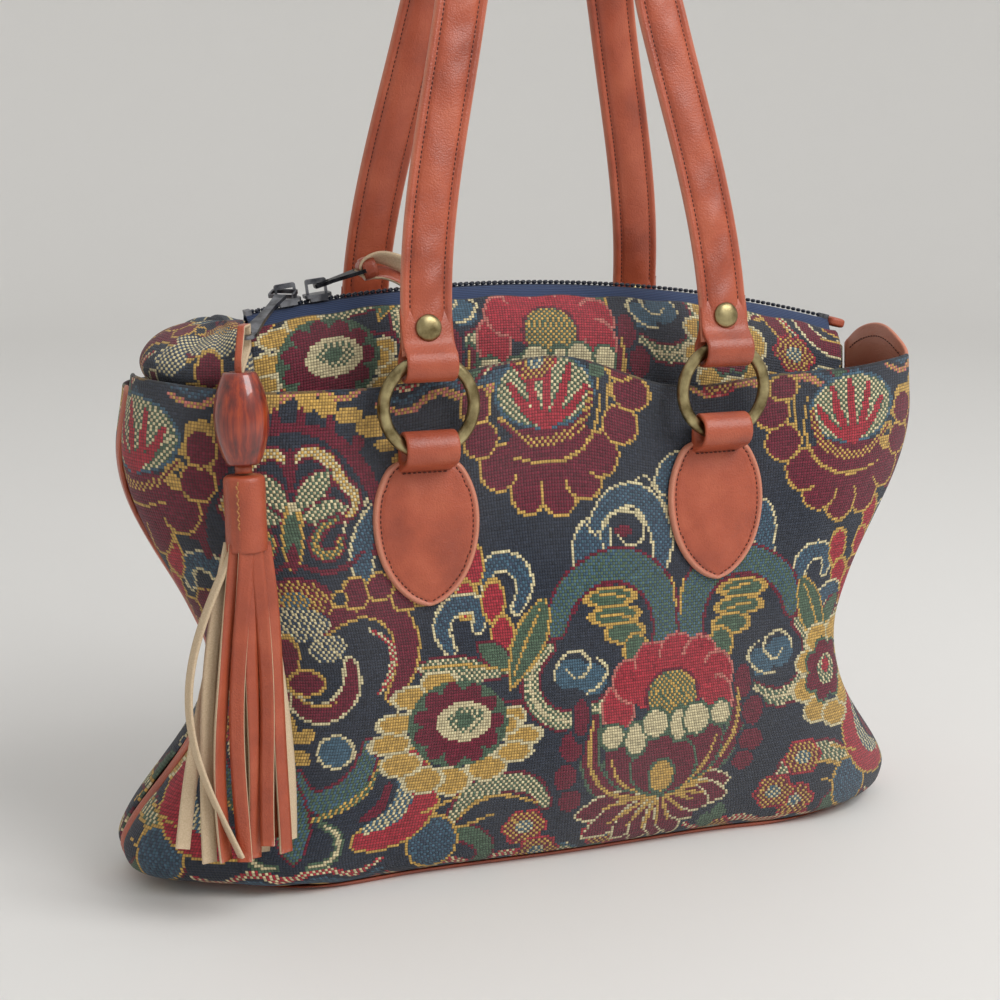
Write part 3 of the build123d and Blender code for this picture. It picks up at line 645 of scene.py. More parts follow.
def acanthus(cloth):
    """Curled leaf: a green arc with maroon edges, gold-edged lobes inside it and a hook round a blue curl."""
    arc = [(-29, 1), (-24, 16), (-8, 27), (10, 29), (24, 19), (30, 3), (27, -14), (20, -24)]
    hook = [(-33, -8), (-40, -15), (-43, -27), (-37, -40), (-23, -46), (-9, -42), (3, -33)]
    cloth.bands((SAGE, TEAL), MAROON, 8.0, arc)
    cloth.bands(MAROON, None, 0.9, [(-20, 8), (-10, 19), (8, 20), (19, 11), (23, -4)])
    cloth.ovals(SAGE, GOLD, (0, 14, 11, 4), (2, 5, 11, 4), (7, -4, 9, 4.5), (13, -14, 6, 8))
    cloth.bands(GOLD, None, 0.8, [(-8, 15), (2, 15), (12, 12)], [(-6, 5), (4, 5), (13, 2)], [(34, 22), (36, 4)])
    cloth.bands((SAGE, CREAM), MAROON, 4.6, hook)
    cloth.bands(CREAM, None, 0.8, hook)
    cloth.ovals(TEAL, None, (-22, -22, 9, 8), (-11, -26, 8, 8))
    cloth.bands(CREAM, None, 0.9, [(-31, -24), (-28, -15), (-18, -11), (-12, -18), (-19, -25), (-24, -20)],
                [(-9, -15), (-3, -21), (-8, -30), (-19, -33)])
    cloth.leaves(SAGE, GOLD, 7.5, (-53, -26, -35, 16))
    cloth.bands(GOLD, None, 0.8, [(-52, -22), (-45, -4), (-37, 12)])


def side_leaves(cloth):
    """Pair of low leaves with gold backs on a maroon stem."""
    cloth.bands(MAROON, None, 1.3, [(-30, -2), (-10, -10), (4, -17), (24, -19)])
    cloth.leaves((SAGE, CREAM), MAROON, 6.5, (10, -4, -38, 3))
    cloth.leaves(SAGE, MAROON, 5, (12, -2, -6, 12))
    cloth.bands(GOLD, None, 0.9, [(-34, 3), (-12, 2), (8, -2)])


def top_flower(cloth):
    """Wide flower: gold-edged maroon petals round a cream lattice with a fan of red strokes."""
    cloth.ovals(MAROON, GOLD, (-18, -31, 9, 11), (-2, -33, 9, 11), (11, -28, 9, 9), (20, -16, 9, 10), (31, -1, 9, 9),
                (37, 15, 9, 8), (31, 27, 7, 6), (-33, -20, 9, 10), (-42, -6, 8, 8), (-44, 10, 7, 8))
    cloth.ovals(MAROON, None, (-4, -14, 26, 14))
    cloth.ovals((SAGE, CREAM), TEAL, (-9, 14, 24, 17))
    cloth.bands((MAROON, GOLD), None, 2.6, [(-32, 2), (-18, -9), (-2, -9), (11, 0), (15, 14)])
    cloth.bands(RED, None, 2.2, [(-9, -4), (-19, 6), (-27, 18)], [(-9, -4), (-15, 10), (-17, 26)],
                [(-9, -4), (-8, 12), (-6, 29)], [(-9, -4), (-1, 9), (4, 25)], [(-9, -4), (4, 5), (12, 16)])
    cloth.bands(GOLD, None, 1.0, [(18, 22), (19, 4), (10, -14), (-8, -20), (-26, -16)], [(26, 24), (24, 6)])


def small_rose(cloth):
    """Small round flower of mixed maroon and gold."""
    cloth.lobes((MAROON, GOLD), RED, 6, 8.5, 11, 0.85)
    cloth.ovals((TEAL, CREAM), None, (0, 0, 4.5, 4))


def blue_curl(cloth):
    """Blue-grey scroll with cream outlines."""
    cloth.leaves((SLATE, TEAL), CREAM, 9, (-22, -24, -8, 8))
    cloth.bands((SLATE, TEAL), CREAM, 5.5, [(-12, 2), (-2, 14), (12, 16), (22, 4), (24, -12), (18, -26)])
    cloth.bands(CREAM, None, 0.9, [(-8, -10), (-8, 2), (2, 9), (12, 6), (14, -4), (6, -8), (0, -3)])
    cloth.ovals(MAROON, None, (3, -1, 5, 2.5))
    cloth.bands(CREAM, None, 0.8, [(10, 24), (16, 26), (22, 20), (30, 14), (33, 0)])


def palmette(cloth):
    """Great palmette: gold tulips over a maroon lattice arch, with green leaves inside."""
    for flip in (1, -1):
        cloth.x = cloth.x * flip
        cloth.ovals(GOLD, None, (9, 53, 5, 7), (18, 49, 5, 6), (29, 44, 7, 4), (40, 38, 8, 5), (47, 29, 6, 3),
                    (58, 14, 8, 3.5), (55, 22, 6, 3))
        cloth.bands(MAROON, None, 3.6, [(0, 40), (14, 37), (28, 27), (38, 12), (43, -5), (40, -21)])
        cloth.ovals(MAROON, None, (6, 44, 2, 5), (20, 40, 2, 5), (33, 31, 3, 4), (44, 6, 4, 3), (46, -10, 4, 3))
        cloth.bands((GOLD, CREAM), MAROON, 2.8, [(0, 22), (7, 28), (18, 24), (25, 13), (31, 4), (27, -3)])
        cloth.leaves((SAGE, CREAM), MAROON, 6, (0, 0, 19, 19), (3, -3, 27, 1))
        cloth.bands((SAGE, GOLD), MAROON, 2.2, [(22, -4), (12, -10), (11, -18), (20, -20), (23, -13)])
        cloth.bands(MAROON, None, 1.4, [(0, -22), (12, -28), (24, -27), (34, -20)])
        cloth.x = cloth.x * flip
    cloth.ovals(SAGE, GOLD, (0, -11, 4, 12))
    cloth.leaves(MAROON, None, 3, (0, -30, 0, -14), (0, 8, 0, 30))
    cloth.ovals(CREAM, None, (0, 3, 2.5, 3))


def checked_oval(cloth):
    """Oval of maroon and gold checks between two small gold frames."""
    cloth.ovals((MAROON, GOLD), MAROON, (0, 0, 16, 10))
    cloth.ovals((TEAL, GOLD), None, (0, 0, 7, 5))
    cloth.ovals(GROUND, GOLD, (21, 0, 3, 3), (-21, 0, 3, 3))


def trefoil(cloth):
    """Maroon trefoil on two arms, over a gold star of leaves and a green scroll."""
    cloth.ovals((SLATE, CREAM), None, (0, 26, 22, 9), (20, 14, 9, 7), (-20, 14, 9, 7))
    for flip in (1, -1):
        cloth.x = cloth.x * flip
        cloth.bands(MAROON, CREAM, 4.2, [(1, -10), (12, -18), (24, -15), (31, -4), (30, 6)])
        cloth.bands(GOLD, None, 0.8, [(3, -9), (13, -14), (23, -13)])
        cloth.ovals(TEAL, CREAM, (22, -37, 8, 7))
        cloth.bands((SAGE, TEAL), MAROON, 5.5, [(2, -48), (10, -60), (24, -58), (35, -47), (39, -35)])
        cloth.bands((GOLD, SAGE), None, 2.0, [(8, -70), (22, -66), (36, -58), (44, -44)])
        cloth.bands(CREAM, SAGE, 1.2, [(14, -72), (22, -80), (20, -90), (8, -94)])
        cloth.leaves(GOLD, None, 3.6, (0, -32, 13, -27), (0, -36, 10, -42))
        cloth.x = cloth.x * flip
    cloth.leaves(GOLD, None, 4, (0, -38, 0, -18))
    cloth.leaves((SAGE, TEAL), MAROON, 8, (0, -46, 0, -92))
    cloth.ovals(MAROON, GOLD, (0, 9, 5.5, 10), (-9, -3, 8, 5.5), (9, -3, 8, 5.5))


def red_arm(cloth):
    """Sweeping red and maroon arm with a gold-edged crest."""
    cloth.bands(MAROON, GOLD, 5.5, [(-20, 6), (-8, 14), (8, 14), (18, 4), (20, -14), (13, -30)])
    cloth.bands((RED, CREAM), None, 1.8, [(2, 4), (12, -4), (12, -18), (6, -28)])
    cloth.ovals(MAROON, GOLD, (-4, 22, 6, 7), (8, 24, 6, 6), (20, 18, 6, 6), (30, 17, 5, 3.5))


def crescent_flower(cloth):
    """Leaning flower of red, blue and maroon crescents with a blue leaf."""
    cloth.ovals((TEAL, SLATE), GOLD, (20, -20, 12, 14))
    cloth.bands(RED, GOLD, 9, [(-16, -14), (4, -8), (14, 8), (8, 26)])
    cloth.bands((TEAL, CREAM), None, 4.5, [(-14, -8), (0, -2), (6, 10), (4, 20)])
    cloth.bands(MAROON, None, 2.6, [(-16, -3), (-6, 4), (-2, 14)])
    cloth.bands(GOLD, None, 0.9, [(12, -4), (24, 0), (34, 4)])


def low_acanthus(cloth):
    """Low green leaf spray with gold midribs and a mixed rose."""
    cloth.bands((SAGE, CREAM), MAROON, 5, [(-22, 2), (-12, 14), (4, 18), (20, 14), (26, 4)])
    cloth.bands(GOLD, None, 1.1, [(-20, 0), (-10, 9), (6, 11), (22, 5)])
    cloth.bands(SAGE, MAROON, 4.5, [(-30, -10), (-14, -8), (-4, -18), (-10, -30)])
    cloth.bands(GOLD, None, 0.9, [(-32, -6), (-16, -3), (0, 2)])
    cloth.x = cloth.x - 16
    cloth.z = cloth.z + 8
    small_rose(cloth)


def right_flower(cloth):
    """Upright flower of gold petals with a maroon and green middle."""
    cloth.ovals(GOLD, CREAM, (-13, 6, 8, 6), (-15, -8, 8, 6), (-8, -20, 8, 6), (6, -24, 9, 6), (-6, 18, 8, 7),
                (10, 20, 8, 6), (16, 2, 7, 8), (16, -14, 7, 7))
    cloth.lobes(MAROON, SAGE, 7, 11, 15, 1.1)
    cloth.ovals((SAGE, CREAM), None, (1, 0, 7, 8))
    cloth.ovals(RED, None, (1, 2, 3, 4))


def garland(cloth):
    """Low garland of red, cream and blue strokes."""
    for shift, first, second in ((0, RED, CREAM), (-6, TEAL, SLATE), (-11, ROSE, GOLD)):
        line = [(-46, shift + 2), (-30, shift - 2), (-16, shift + 5), (0, shift), (16, shift + 5), (34, shift),
                (48, shift + 6)]
        cloth.bands((first, second), None, 2.2, line)


def edge_curl(cloth):
    """Small blue curl with a cream outline, and a red bud."""
    cloth.bands((SLATE, TEAL), CREAM, 4, [(-8, -14), (-12, -2), (-4, 8), (6, 6), (6, -4)])
    cloth.ovals(RED, GOLD, (14, 8, 5, 9), (18, -8, 5, 8))


def woven(across, up):
    """Colours of the stitches at places across and up the cloth."""
    cloth = Tapestry(across, up)
    for motif, places in (
        (garland, [(-150, 9, 1), (-52, 3, 1), (110, 4, -1)]),
        (edge_curl, [(136, 142, 1), (150, 118, 1), (-186, 158, -1), (-40, 150, -1), (-58, 132, 1), (60, 196, 1)]),
        (side_leaves, [(-46, 108, 1), (152, 110, -1)]),
        (blue_curl, [(22, 170, 1), (86, 176, -1), (-84, 172, -1)]),
        (acanthus, [(17, 123, 1), (91, 121, -1)]),
        (low_acanthus, [(-44, 30, 1), (140, 24, -1)]),
        (red_arm, [(-108, 128, 1), (-176, 122, -1)]),
        (crescent_flower, [(-96, 40, 1), (-192, 40, -1)]),
        (palmette, [(-141, 190, 1)]),
        (checked_oval, [(-141, 148, 1)]),
        (trefoil, [(-146, 110, 1)]),
        (top_flower, [(-6, 222, 1), (146, 210, -1)]),
        (right_flower, [(146, 84, 1)]),
        (gold_rosette, [(-63, 81, 1)]),
        (small_rose, [(15, 258, 1), (112, 22, 1), (128, 40, 1), (-20, 6, 1), (80, 246, 1), (-186, 84, 1)]),
        (lotus, [(45, 42, 1)]),
    ):
        for x, z, flip in places:
            motif(cloth.about(x, z, flip))
    return cloth.colours()


def tapestry_finish():
    """Woven cloth: painted shade darkens the thread's colour between stitches, and each stitch stands up as a small
    bead.
    """
    finish = Finish("tapestry", Roughness=0.88, Sheen_Weight=0.12, Sheen_Roughness=0.5, Specular_IOR_Level=0.22)
    across, up = finish.cloth_place()
    x, y = across.fraction(), up.fraction()
    bead = ((x * (1 - x)) * (y * (1 - y)) * 16.0) ** 0.5
    slub = finish.noise(420.0, 2.0)
    thread = finish.node("ShaderNodeAttribute", {"attribute_name": "thread"}, out="Color")
    # Painted shade: the thread's colour goes dark in the gaps between stitches, mixed with random slub tone
    painted_gap_shade_and_slub = (bead * 0.85 + slub * 0.5 - 0.02).limited()
    colour = finish.mix(painted_gap_shade_and_slub, paint(22, 24, 30), thread)
    faded = finish.mix((finish.noise(9.0, 2.0) * 0.5 - 0.12).limited(), colour, paint(120, 118, 116))
    return finish.give(Base_Color=faded, Normal=finish.bumped(bead + slub * 0.4, 0.0006, 0.7))


def leather_finish(name, dark, middle, light, edge, roughness, coat):
    """Grained leather: pebbles and pores in the bump, uneven dye, and a paler worn rim."""
    finish = Finish(name, Coat_Roughness=0.35, Specular_IOR_Level=0.5)
    cloud = finish.noise(38.0, 4.0)
    tone = finish.node("ShaderNodeValToRGB", {"stops": [(0.3, dark), (0.52, middle), (0.75, light)]}, {0: cloud})
    pebble = finish.node("ShaderNodeTexVoronoi", {"feature": "F1"}, {"Vector": finish.place(), "Scale": 1150.0})
    pore = finish.noise(2600.0, 2.0)
    colour = finish.mix(finish.rim(), tone, edge)
    height = pore * 0.35 - pebble * 0.9 + finish.noise(140.0, 3.0) * 0.8
    return finish.give(
        Base_Color=colour,
        Roughness=(cloud * 0.22 + (roughness - 0.1) + pebble * 0.12).limited(),
        Coat_Weight=(coat + finish.noise(60.0, 2.0) * 0.12).limited(),
        Normal=finish.bumped(height, 0.00035, 0.55),
    )


def metal_finish(name, dark, light, roughness, scale):
    """Plated metal with a cloudy tarnish and fine rubbing marks."""
    finish = Finish(name, Metallic=1.0)
    cloud = finish.noise(scale, 4.0)
    colour = finish.node("ShaderNodeValToRGB", {"stops": [(0.34, dark), (0.66, light)]}, {0: cloud})
    rub = finish.noise(1800.0, 2.0)
    return finish.give(Base_Color=colour, Roughness=(cloud * 0.2 + rub * 0.12 + roughness).limited(),
                       Normal=finish.bumped(rub, 0.00008, 0.3))


def wood_finish():
    """Varnished reddish wood: dark grain lines run down the bead under a clear coat."""
    finish = Finish("varnished_wood", Roughness=0.38, Coat_Weight=1.0, Coat_Roughness=0.06)
    at = finish.node("ShaderNodeMapping", None, {"Vector": finish.place(), "Scale": (1.0, 1.0, 0.06)})
    fibre = finish.noise(420.0, 5.0, 0.65, at)
    glow = finish.noise(70.0, 2.0)
    tone = finish.node("ShaderNodeValToRGB", {"stops": [(0.32, paint(54, 10, 5)), (0.5, paint(128, 34, 10)),
                                                        (0.72, paint(196, 76, 20))]}, {0: fibre * 0.7 + glow * 0.3})
    return finish.give(Base_Color=tone, Normal=finish.bumped(fibre, 0.0001, 0.2))


def ribbed_finish(name, dark, light, ribs, roughness):
    """Woven tape: fine ribs along it."""
    finish = Finish(name, Roughness=roughness, Sheen_Weight=0.1)
    across, up = finish.cloth_place()
    rib = (across * ribs).sine() * 0.5 + 0.5
    cross = (up * (ribs * 2.2)).sine() * 0.5 + 0.5
    weave = rib * 0.6 + cross * 0.4
    return finish.give(Base_Color=finish.mix(weave, dark, light), Normal=finish.bumped(weave, 0.0003, 0.6))


def plain_finish(name, dark, light, roughness, scale=900.0):
    """One coloured stuff with a fine uneven tone."""
    finish = Finish(name, Roughness=roughness)
    speck = finish.noise(scale, 3.0)
    return finish.give(Base_Color=finish.mix(speck, dark, light), Normal=finish.bumped(speck, 0.0002, 0.4))


tapestry = tapestry_finish()
leather = leather_finish("cognac_leather", paint(148, 65, 41), paint(170, 78, 49), paint(186, 94, 63),
                         paint(208, 136, 110), 0.34, 0.2)
suede = plain_finish("suede_side", paint(178, 152, 120), paint(226, 206, 176), 0.95, 1500.0)
brass = metal_finish("antique_brass", paint(112, 98, 66), paint(186, 172, 128), 0.2, 120.0)
gunmetal = metal_finish("gunmetal", paint(70, 72, 78), paint(140, 142, 148), 0.22, 160.0)
blackened = metal_finish("blackened_steel", paint(22, 22, 25), paint(52, 53, 58), 0.24, 160.0)
wood = wood_finish()
tape = ribbed_finish("zip_tape", paint(28, 38, 62), paint(60, 80, 120), 6.0, 0.85)
coil = plain_finish("zip_coil", paint(18, 22, 32), paint(40, 48, 66), 0.4)
lining = plain_finish("lining_cloth", paint(26, 28, 34), paint(44, 48, 56), 0.9)
thread = plain_finish("sewing_thread", paint(58, 22, 16), paint(92, 40, 28), 0.7)
gilt_thread = plain_finish("gilt_thread", paint(150, 92, 50), paint(196, 140, 84), 0.6)


def folded_cloth(outer, step, hem):
    """A cloth's outside rolled over its top edge and down inside: outside, half-round edge, then the inner face
    one cloth thickness in. Also the length run up the cloth, and a share that is 1 where the lining begins."""
    normal = grid_normals(outer)
    rise = unit(outer[-1] - outer[-2])
    middle = outer[-1] - normal[-1] * CLOTH / 2
    roll = np.stack([middle + (normal[-1] * np.cos(turn) + rise * np.sin(turn)) * CLOTH / 2
                     for turn in np.radians([36.0, 72.0, 108.0, 144.0])])
    down = np.unique(np.append(np.arange(len(outer) - 1, 0, -step), 0))[::-1]
    inner = outer[down] - normal[down] * CLOTH
    points = np.concatenate([outer, roll, inner])
    for column in (0, -1):
        centre = np.concatenate([outer[:, column] - normal[:, column] * CLOTH / 2,
                                 np.repeat(middle[None, column], len(roll), 0),
                                 outer[down, column] - normal[down, column] * CLOTH / 2])
        points[:, column] = centre
    run = run_along(points, 0)
    lined = run - run[len(outer)] > hem
    return points, run, lined


def tapestry_piece(name, outer, across, up, hem):
    """Tapestry sheet, one quad to each stitch outside, with its turned edge and lining."""
    points, run, lined = folded_cloth(outer, 8, hem)
    rows, columns = points.shape[:2]
    full = len(outer)
    edge_up = up[-1:] + (run[full:] - run[full - 1])
    all_up = np.concatenate([up, edge_up])
    all_across = np.concatenate([across, np.repeat(across[-1:], rows - full, 0)])

    def middle(values):
        return (values[:-1, :-1] + values[1:, :-1] + values[:-1, 1:] + values[1:, 1:]) / 4

    colour = woven(middle(all_across), middle(all_up))
    colour[lined[1:, 1:]] = (*THREADS[LINING], 1.0)
    last = np.repeat(np.append(THREADS[LINING], 1.0)[None, None], columns - 1, 1)
    uv_rows = np.concatenate([np.arange(full), full - 1 + (run[full:, 0] - run[full - 1, 0]) / STITCH])
    uv_rows = np.append(uv_rows, uv_rows[-1] + 1)
    uv = np.stack(np.meshgrid(np.arange(columns), uv_rows), 2)
    return Piece(name).grid(points, close=True, uv=uv, thread=np.concatenate([colour, last]))


def edge_rise(x):
    """How far the front pocket's edge stands above or below its even level."""
    places = [-205, -181, -158, -125, -95, -60, -37, -6, 15, 47, 80, 113, 142, 197, 210]
    rises = [7, 4, 1.5, 0.5, 0.5, 5, 9, 11, 6, -5, -7, -3.5, -2.5, 1.5, 2]
    return smooth_through(places, rises, x)


def back_rise(x):
    """How far the back pocket's edge stands above or below its even level."""
    return 2.0 * np.sin(x / 57.0 + 1.0)


def away_from_tabs(x, z):
    """Share of slack left beside the tabs, which hold the cloth flat."""
    return 1 - np.maximum(hill(x, -TAB_X, 26), hill(x, TAB_X, 26)) * hill(z, 178, 46)


def front_slack(x, z):
    """Soft swells and creases of the front cloth, outwards, in mm."""
    swell = 1.2 * np.sin(x / 41.0 + 0.6) * np.sin(z / 47.0)
    pucker = 1.6 * hill(x, 18, 46) * ease((z - 205) / 40) * np.sin(x / 5.5)
    crease = -2.2 * hill((x + 165) * 0.6 + (z - 22) * 0.8, 0, 4.5) * hill(z, 24, 22)
    side_fold = -2.0 * hill(x - 0.35 * (z - 90), -178, 7) * hill(z, 95, 45)
    right_fold = -1.6 * hill(x + 0.25 * (z - 100), 158, 7) * hill(z, 100, 50)
    tug = -1.2 * (hill(x, -TAB_X, 34) + hill(x, TAB_X, 34)) * hill(z, 245, 22)
    return (swell + pucker + crease + side_fold + right_fold + tug) * away_from_tabs(x, z)


def back_slack(x, z):
    """Soft swells of the back cloth, outwards, in mm."""
    swell = 1.4 * np.sin(x / 37.0 + 1.9) * np.sin(z / 52.0 + 0.4) + 0.9 * np.sin((x + z) / 29.0)
    return swell * away_from_tabs(x, z)


def outer_grid(height, first, last, count):
    """Grid of the bag's outside between two seams, with its run across from the middle column."""
    form = bag_outside(even_turns(height, first, last, count), height)
    across = run_along(form, 1)
    return form, across - across[:, count // 2][:, None]


def panel_grid(form, across, slack, rise):
    """A panel on the outside: soft slack along the normal, an uneven top edge, and sunk seams."""
    x, z = form[..., 0], form[..., 2]
    lift = rise(x) * ease((z - EDGE_LIFT_FROM) / (EDGE_HEIGHT - EDGE_LIFT_FROM))
    to_seam = np.abs(across).max(1, keepdims=True) - np.abs(across)
    seam = -1.3 * np.exp(-to_seam / 2.5) - 1.0 * np.exp(-(z - BASE_SEAM) / 3.0)
    points = form + grid_normals(form) * (slack(x, z) + seam)[..., None]
    points[..., 2] += lift
    return points, z + 0.5 * lift


def flat_size(points):
    """Width, length and area of a sheet laid flat, in metres, from its outer grid."""
    side, up = np.diff(points, axis=1)[:-1], np.diff(points, axis=0)[:, :-1]
    area = np.linalg.norm(np.cross(side, up), axis=2).sum() * MM * MM
    width, length = run_along(points, 1).max() * MM, run_along(points, 0).max() * MM
    return (width, length), min(area, width * length)


def stretched(piece, points, *rests_on):
    """Works out the flat size and area of a sheet's outer grid; nothing is done with them."""
    flat, area = flat_size(points)


def tapestry_sheet(name, node, points, across, up, rests_on, hem=HEM):
    """Makes a sheet of tapestry on the bag."""
    piece = tapestry_piece(name, points, across, up, hem).make([tapestry], "bag", "tapestry", node)
    stretched(piece, points, *rests_on)


# Front and back panels, a quad to each stitch; the back is cut from another part of the pattern
PANEL_COLUMNS = 300
PANEL_HEIGHT = np.linspace(BASE_SEAM, EDGE_HEIGHT, 166)
LEFT_TURN = seam_turn(PANEL_HEIGHT, LEFT_SEAM, LEFT_SEARCH_TURN)
RIGHT_TURN = seam_turn(PANEL_HEIGHT, RIGHT_SEAM, RIGHT_SEARCH_TURN)
BACK_CUT = (118.0, 61.0)
GUSSETS = ["left_gusset_leather", "right_gusset_leather"]

front_form, front_across = outer_grid(PANEL_HEIGHT, LEFT_TURN, RIGHT_TURN, PANEL_COLUMNS)
front_points, front_up = panel_grid(front_form, front_across, front_slack, edge_rise)
front_middle = front_form[:, PANEL_COLUMNS // 2, 0][:, None]
tapestry_sheet("front_cloth", "front_panel", front_points, front_middle + front_across, front_up, GUSSETS)
back_form, back_across = outer_grid(PANEL_HEIGHT, OUTLINE_COUNT - RIGHT_TURN, OUTLINE_COUNT - LEFT_TURN, PANEL_COLUMNS)
back_points, back_up = panel_grid(back_form, back_across, back_slack, back_rise)
tapestry_sheet("back_cloth", "back_panel", back_points, back_across + BACK_CUT[0], back_up + BACK_CUT[1], GUSSETS)


def capsules(centre, along, length, radius, sides=6):
    """Small rounded rods: a ring of sides at four places along each, drawn to a point at both ends."""
    along = unit(along)
    helper = np.where(np.abs(along[:, 2:]) > 0.8, [[1.0, 0, 0]], [[0, 0, 1.0]])
    one = unit(np.cross(along, helper))
    two = np.cross(along, one)
    turn = full_turn(sides)
    reach = np.array([-0.5, -0.5 + radius / length, 0.5 - radius / length, 0.5]) * length
    thick = np.array([0.25, 1.0, 1.0, 0.25]) * radius
    circle = (one[:, None] * np.cos(turn)[None, :, None] + two[:, None] * np.sin(turn)[None, :, None])
    ring = circle[:, None] * thick[None, :, None, None]
    return centre[:, None, None] + along[:, None, None] * reach[None, :, None, None] + ring


def thread_row(line, outward, pitch, length, radius):
    """Row of stitches along a line, sunk half into the leather."""
    run = line_run(line)
    at = np.arange(pitch / 2, run[-1] - pitch / 3, pitch)
    centre, after, normal = read_line(at, run, line), read_line(at + 0.4, run, line), read_line(at, run, outward)
    return capsules(centre + normal * 0.1 * radius, after - centre, length, radius, 5)


def leather_sheet(name, outer):
    """Leather sheet with a rounded, paler top edge."""
    points = folded_cloth(outer, 4, 0.0)[0]
    rim = np.zeros(points.shape[:2])
    rim[len(outer) - 1:len(outer) + 6] = 0.8
    return Piece(name).grid(points, close=True, rim=rim)


def gusset_grid(first, last, count, rise, seam):
    """Side of the bag between its seams: its top edge arched, its leather creased across the waist."""
    form, across = outer_grid(PANEL_HEIGHT[::2], first[::2], last[::2], count)
    y, z = form[..., 1], form[..., 2]
    arched = rise * np.clip(1 - (y / seam[1]) ** 2, 0, 1)
    arched = arched * ease((z - GUSSET_ARCH_FROM) / (EDGE_HEIGHT - GUSSET_ARCH_FROM))
    to_seam = np.abs(across).max(1, keepdims=True) - np.abs(across)
    crease = 0.8 * np.sin(z / 6.5 + 0.15 * y) * hill(z, 95, 45) + 0.6 * np.sin(z / 17.0 + y / 9.0)
    depth = -1.2 * np.exp(-to_seam / 2.0) + crease * ease(to_seam / 8)
    points = form + grid_normals(form) * depth[..., None]
    points[..., 2] += arched
    return points


left_gusset = gusset_grid(OUTLINE_COUNT - LEFT_TURN, LEFT_TURN, 25, LEFT_RISE, LEFT_SEAM)
right_gusset = gusset_grid(RIGHT_TURN, 2 * OUTLINE_COUNT - RIGHT_TURN, 61, RIGHT_RISE, RIGHT_SEAM)
for name, points, node in (("left_gusset_leather", left_gusset, "left_gusset"),
                           ("right_gusset_leather", right_gusset, "right_gusset")):
    piece = leather_sheet(name, points)
    if node == "right_gusset":
        outward = grid_normals(points)[-3]
        for line in (points[-3] + outward * 0.05, points[-3] - outward * (CLOTH + 0.05)):
            piece.copies(thread_row(line[3:-3], outward[3:-3], *EDGE_STITCH), 1)
    stretched(piece.make([leather, thread], "bag", "cognac_leather", node), points, "front_cloth", "back_cloth")


def base_rings():
    """Leather base: an inner floor, a low rim and the underside, each a ring of the outline drawn in to a line."""
    turn = np.linspace(0, OUTLINE_COUNT, 160, endpoint=False)
    rim = bag_outside(turn, [BASE_SEAM, 2.0, 1.4, 0.9, 0.4, 0.0])
    inside = bag_outside(turn, [BASE_SEAM, CLOTH])
    inside = inside - np.sign(inside) * [1.2, 2.0, 0.0]

    def drawn_in(ring, share):
        return ring * [1 - 0.25 * share, 1 - share, 1]

    floor = [drawn_in(inside[1], share) for share in (1.0, 0.66, 0.33)]
    under = [drawn_in(rim[-1], share) for share in (0.12, 0.33, 0.66, 1.0)]
    return np.concatenate([np.stack(floor), inside[::-1], rim, np.stack(under)])


Piece("base_leather").grid(base_rings(), wrap=True, flip=True).make([leather], "bag", "cognac_leather", "base_panel")


# Zipped section: everything on it follows the zip's arch
STRIP_PROFILE = np.array([(10.5, -5.0), (17.5, -12.0), (24.0, -26.0), (28.6, -50.0), (29.0, -112.0)])


def arch(x, lift):
    """X and Z of a place on the zip's arch, lifted from it along its radius."""
    turn = np.arcsin((x - ARCH_X) / ARCH_RADIUS)
    return ARCH_X + (ARCH_RADIUS + lift) * np.sin(turn), ARCH_Z + (ARCH_RADIUS + lift) * np.cos(turn)


def strip_half(lift):
    """Half depth of the zipped section at a lift below the arch."""
    return smooth_through(-STRIP_PROFILE[:, 1], STRIP_PROFILE[:, 0], -np.asarray(lift))


def zip_strip(side):
    """Cloth beside the zip: the strip's profile carried along the arch, puckered next to the tape."""
    line = smooth_line(STRIP_PROFILE[::-1], 84)
    start = ARCH_X + ARCH_RADIUS * (PILLOW_X + 8.0 - ARCH_X) / (ARCH_RADIUS + line[:, 1:])
    place = start + (STRIP_RIGHT - start) * np.linspace(0, 1, 222)[None]
    x, z = arch(place, line[:, 1:])
    points = spread(x, side * line[:, :1], z)
    points = points if side < 0 else points[:, ::-1]
    near_tape = np.exp((line[:, 1:] + 5) / 9)
    soft = 0.7 * near_tape * np.sin(points[..., 0] / 5.3) + 0.8 * np.sin(points[..., 0] / 31.0 + 2) * (1 - near_tape)
    points = points + grid_normals(points) * (soft - 0.7)[..., None]
    up = np.broadcast_to(run_along(points, 0)[:, :1], x.shape)
    return points, side * -points[..., 0], up


for side, name, node, across_start, up_start in ((-1, "front_strip", "front_zip_strip", 52.0, -8.0),
                                                 (1, "back_strip", "back_zip_strip", 70.0, 30.0)):
    points, across, up = zip_strip(side)
    tapestry_sheet(name, node, points, across + across_start, up + up_start, ["front_zip_ribbon", "back_zip_ribbon"],
                   STRIP_HEM)


def right_end():
    """Closed free end of the zipped section: a soft wall between the two strips."""
    lift = np.linspace(-110, -8, 60)[:, None]
    half = strip_half(lift) - 3.2
    share = np.linspace(-1, 1, 40)[None]
    x, z = arch(np.full_like(lift, STRIP_RIGHT + 0.8), lift)
    bulge = 1.2 * (1 - share**2)
    return spread(x + bulge, half * share, z)


points = right_end()
tapestry_sheet("right_end_cloth", "zip_right_end", points, points[..., 1] + END_CUT, points[..., 2],
               ["front_strip", "back_strip"], END_HEM)


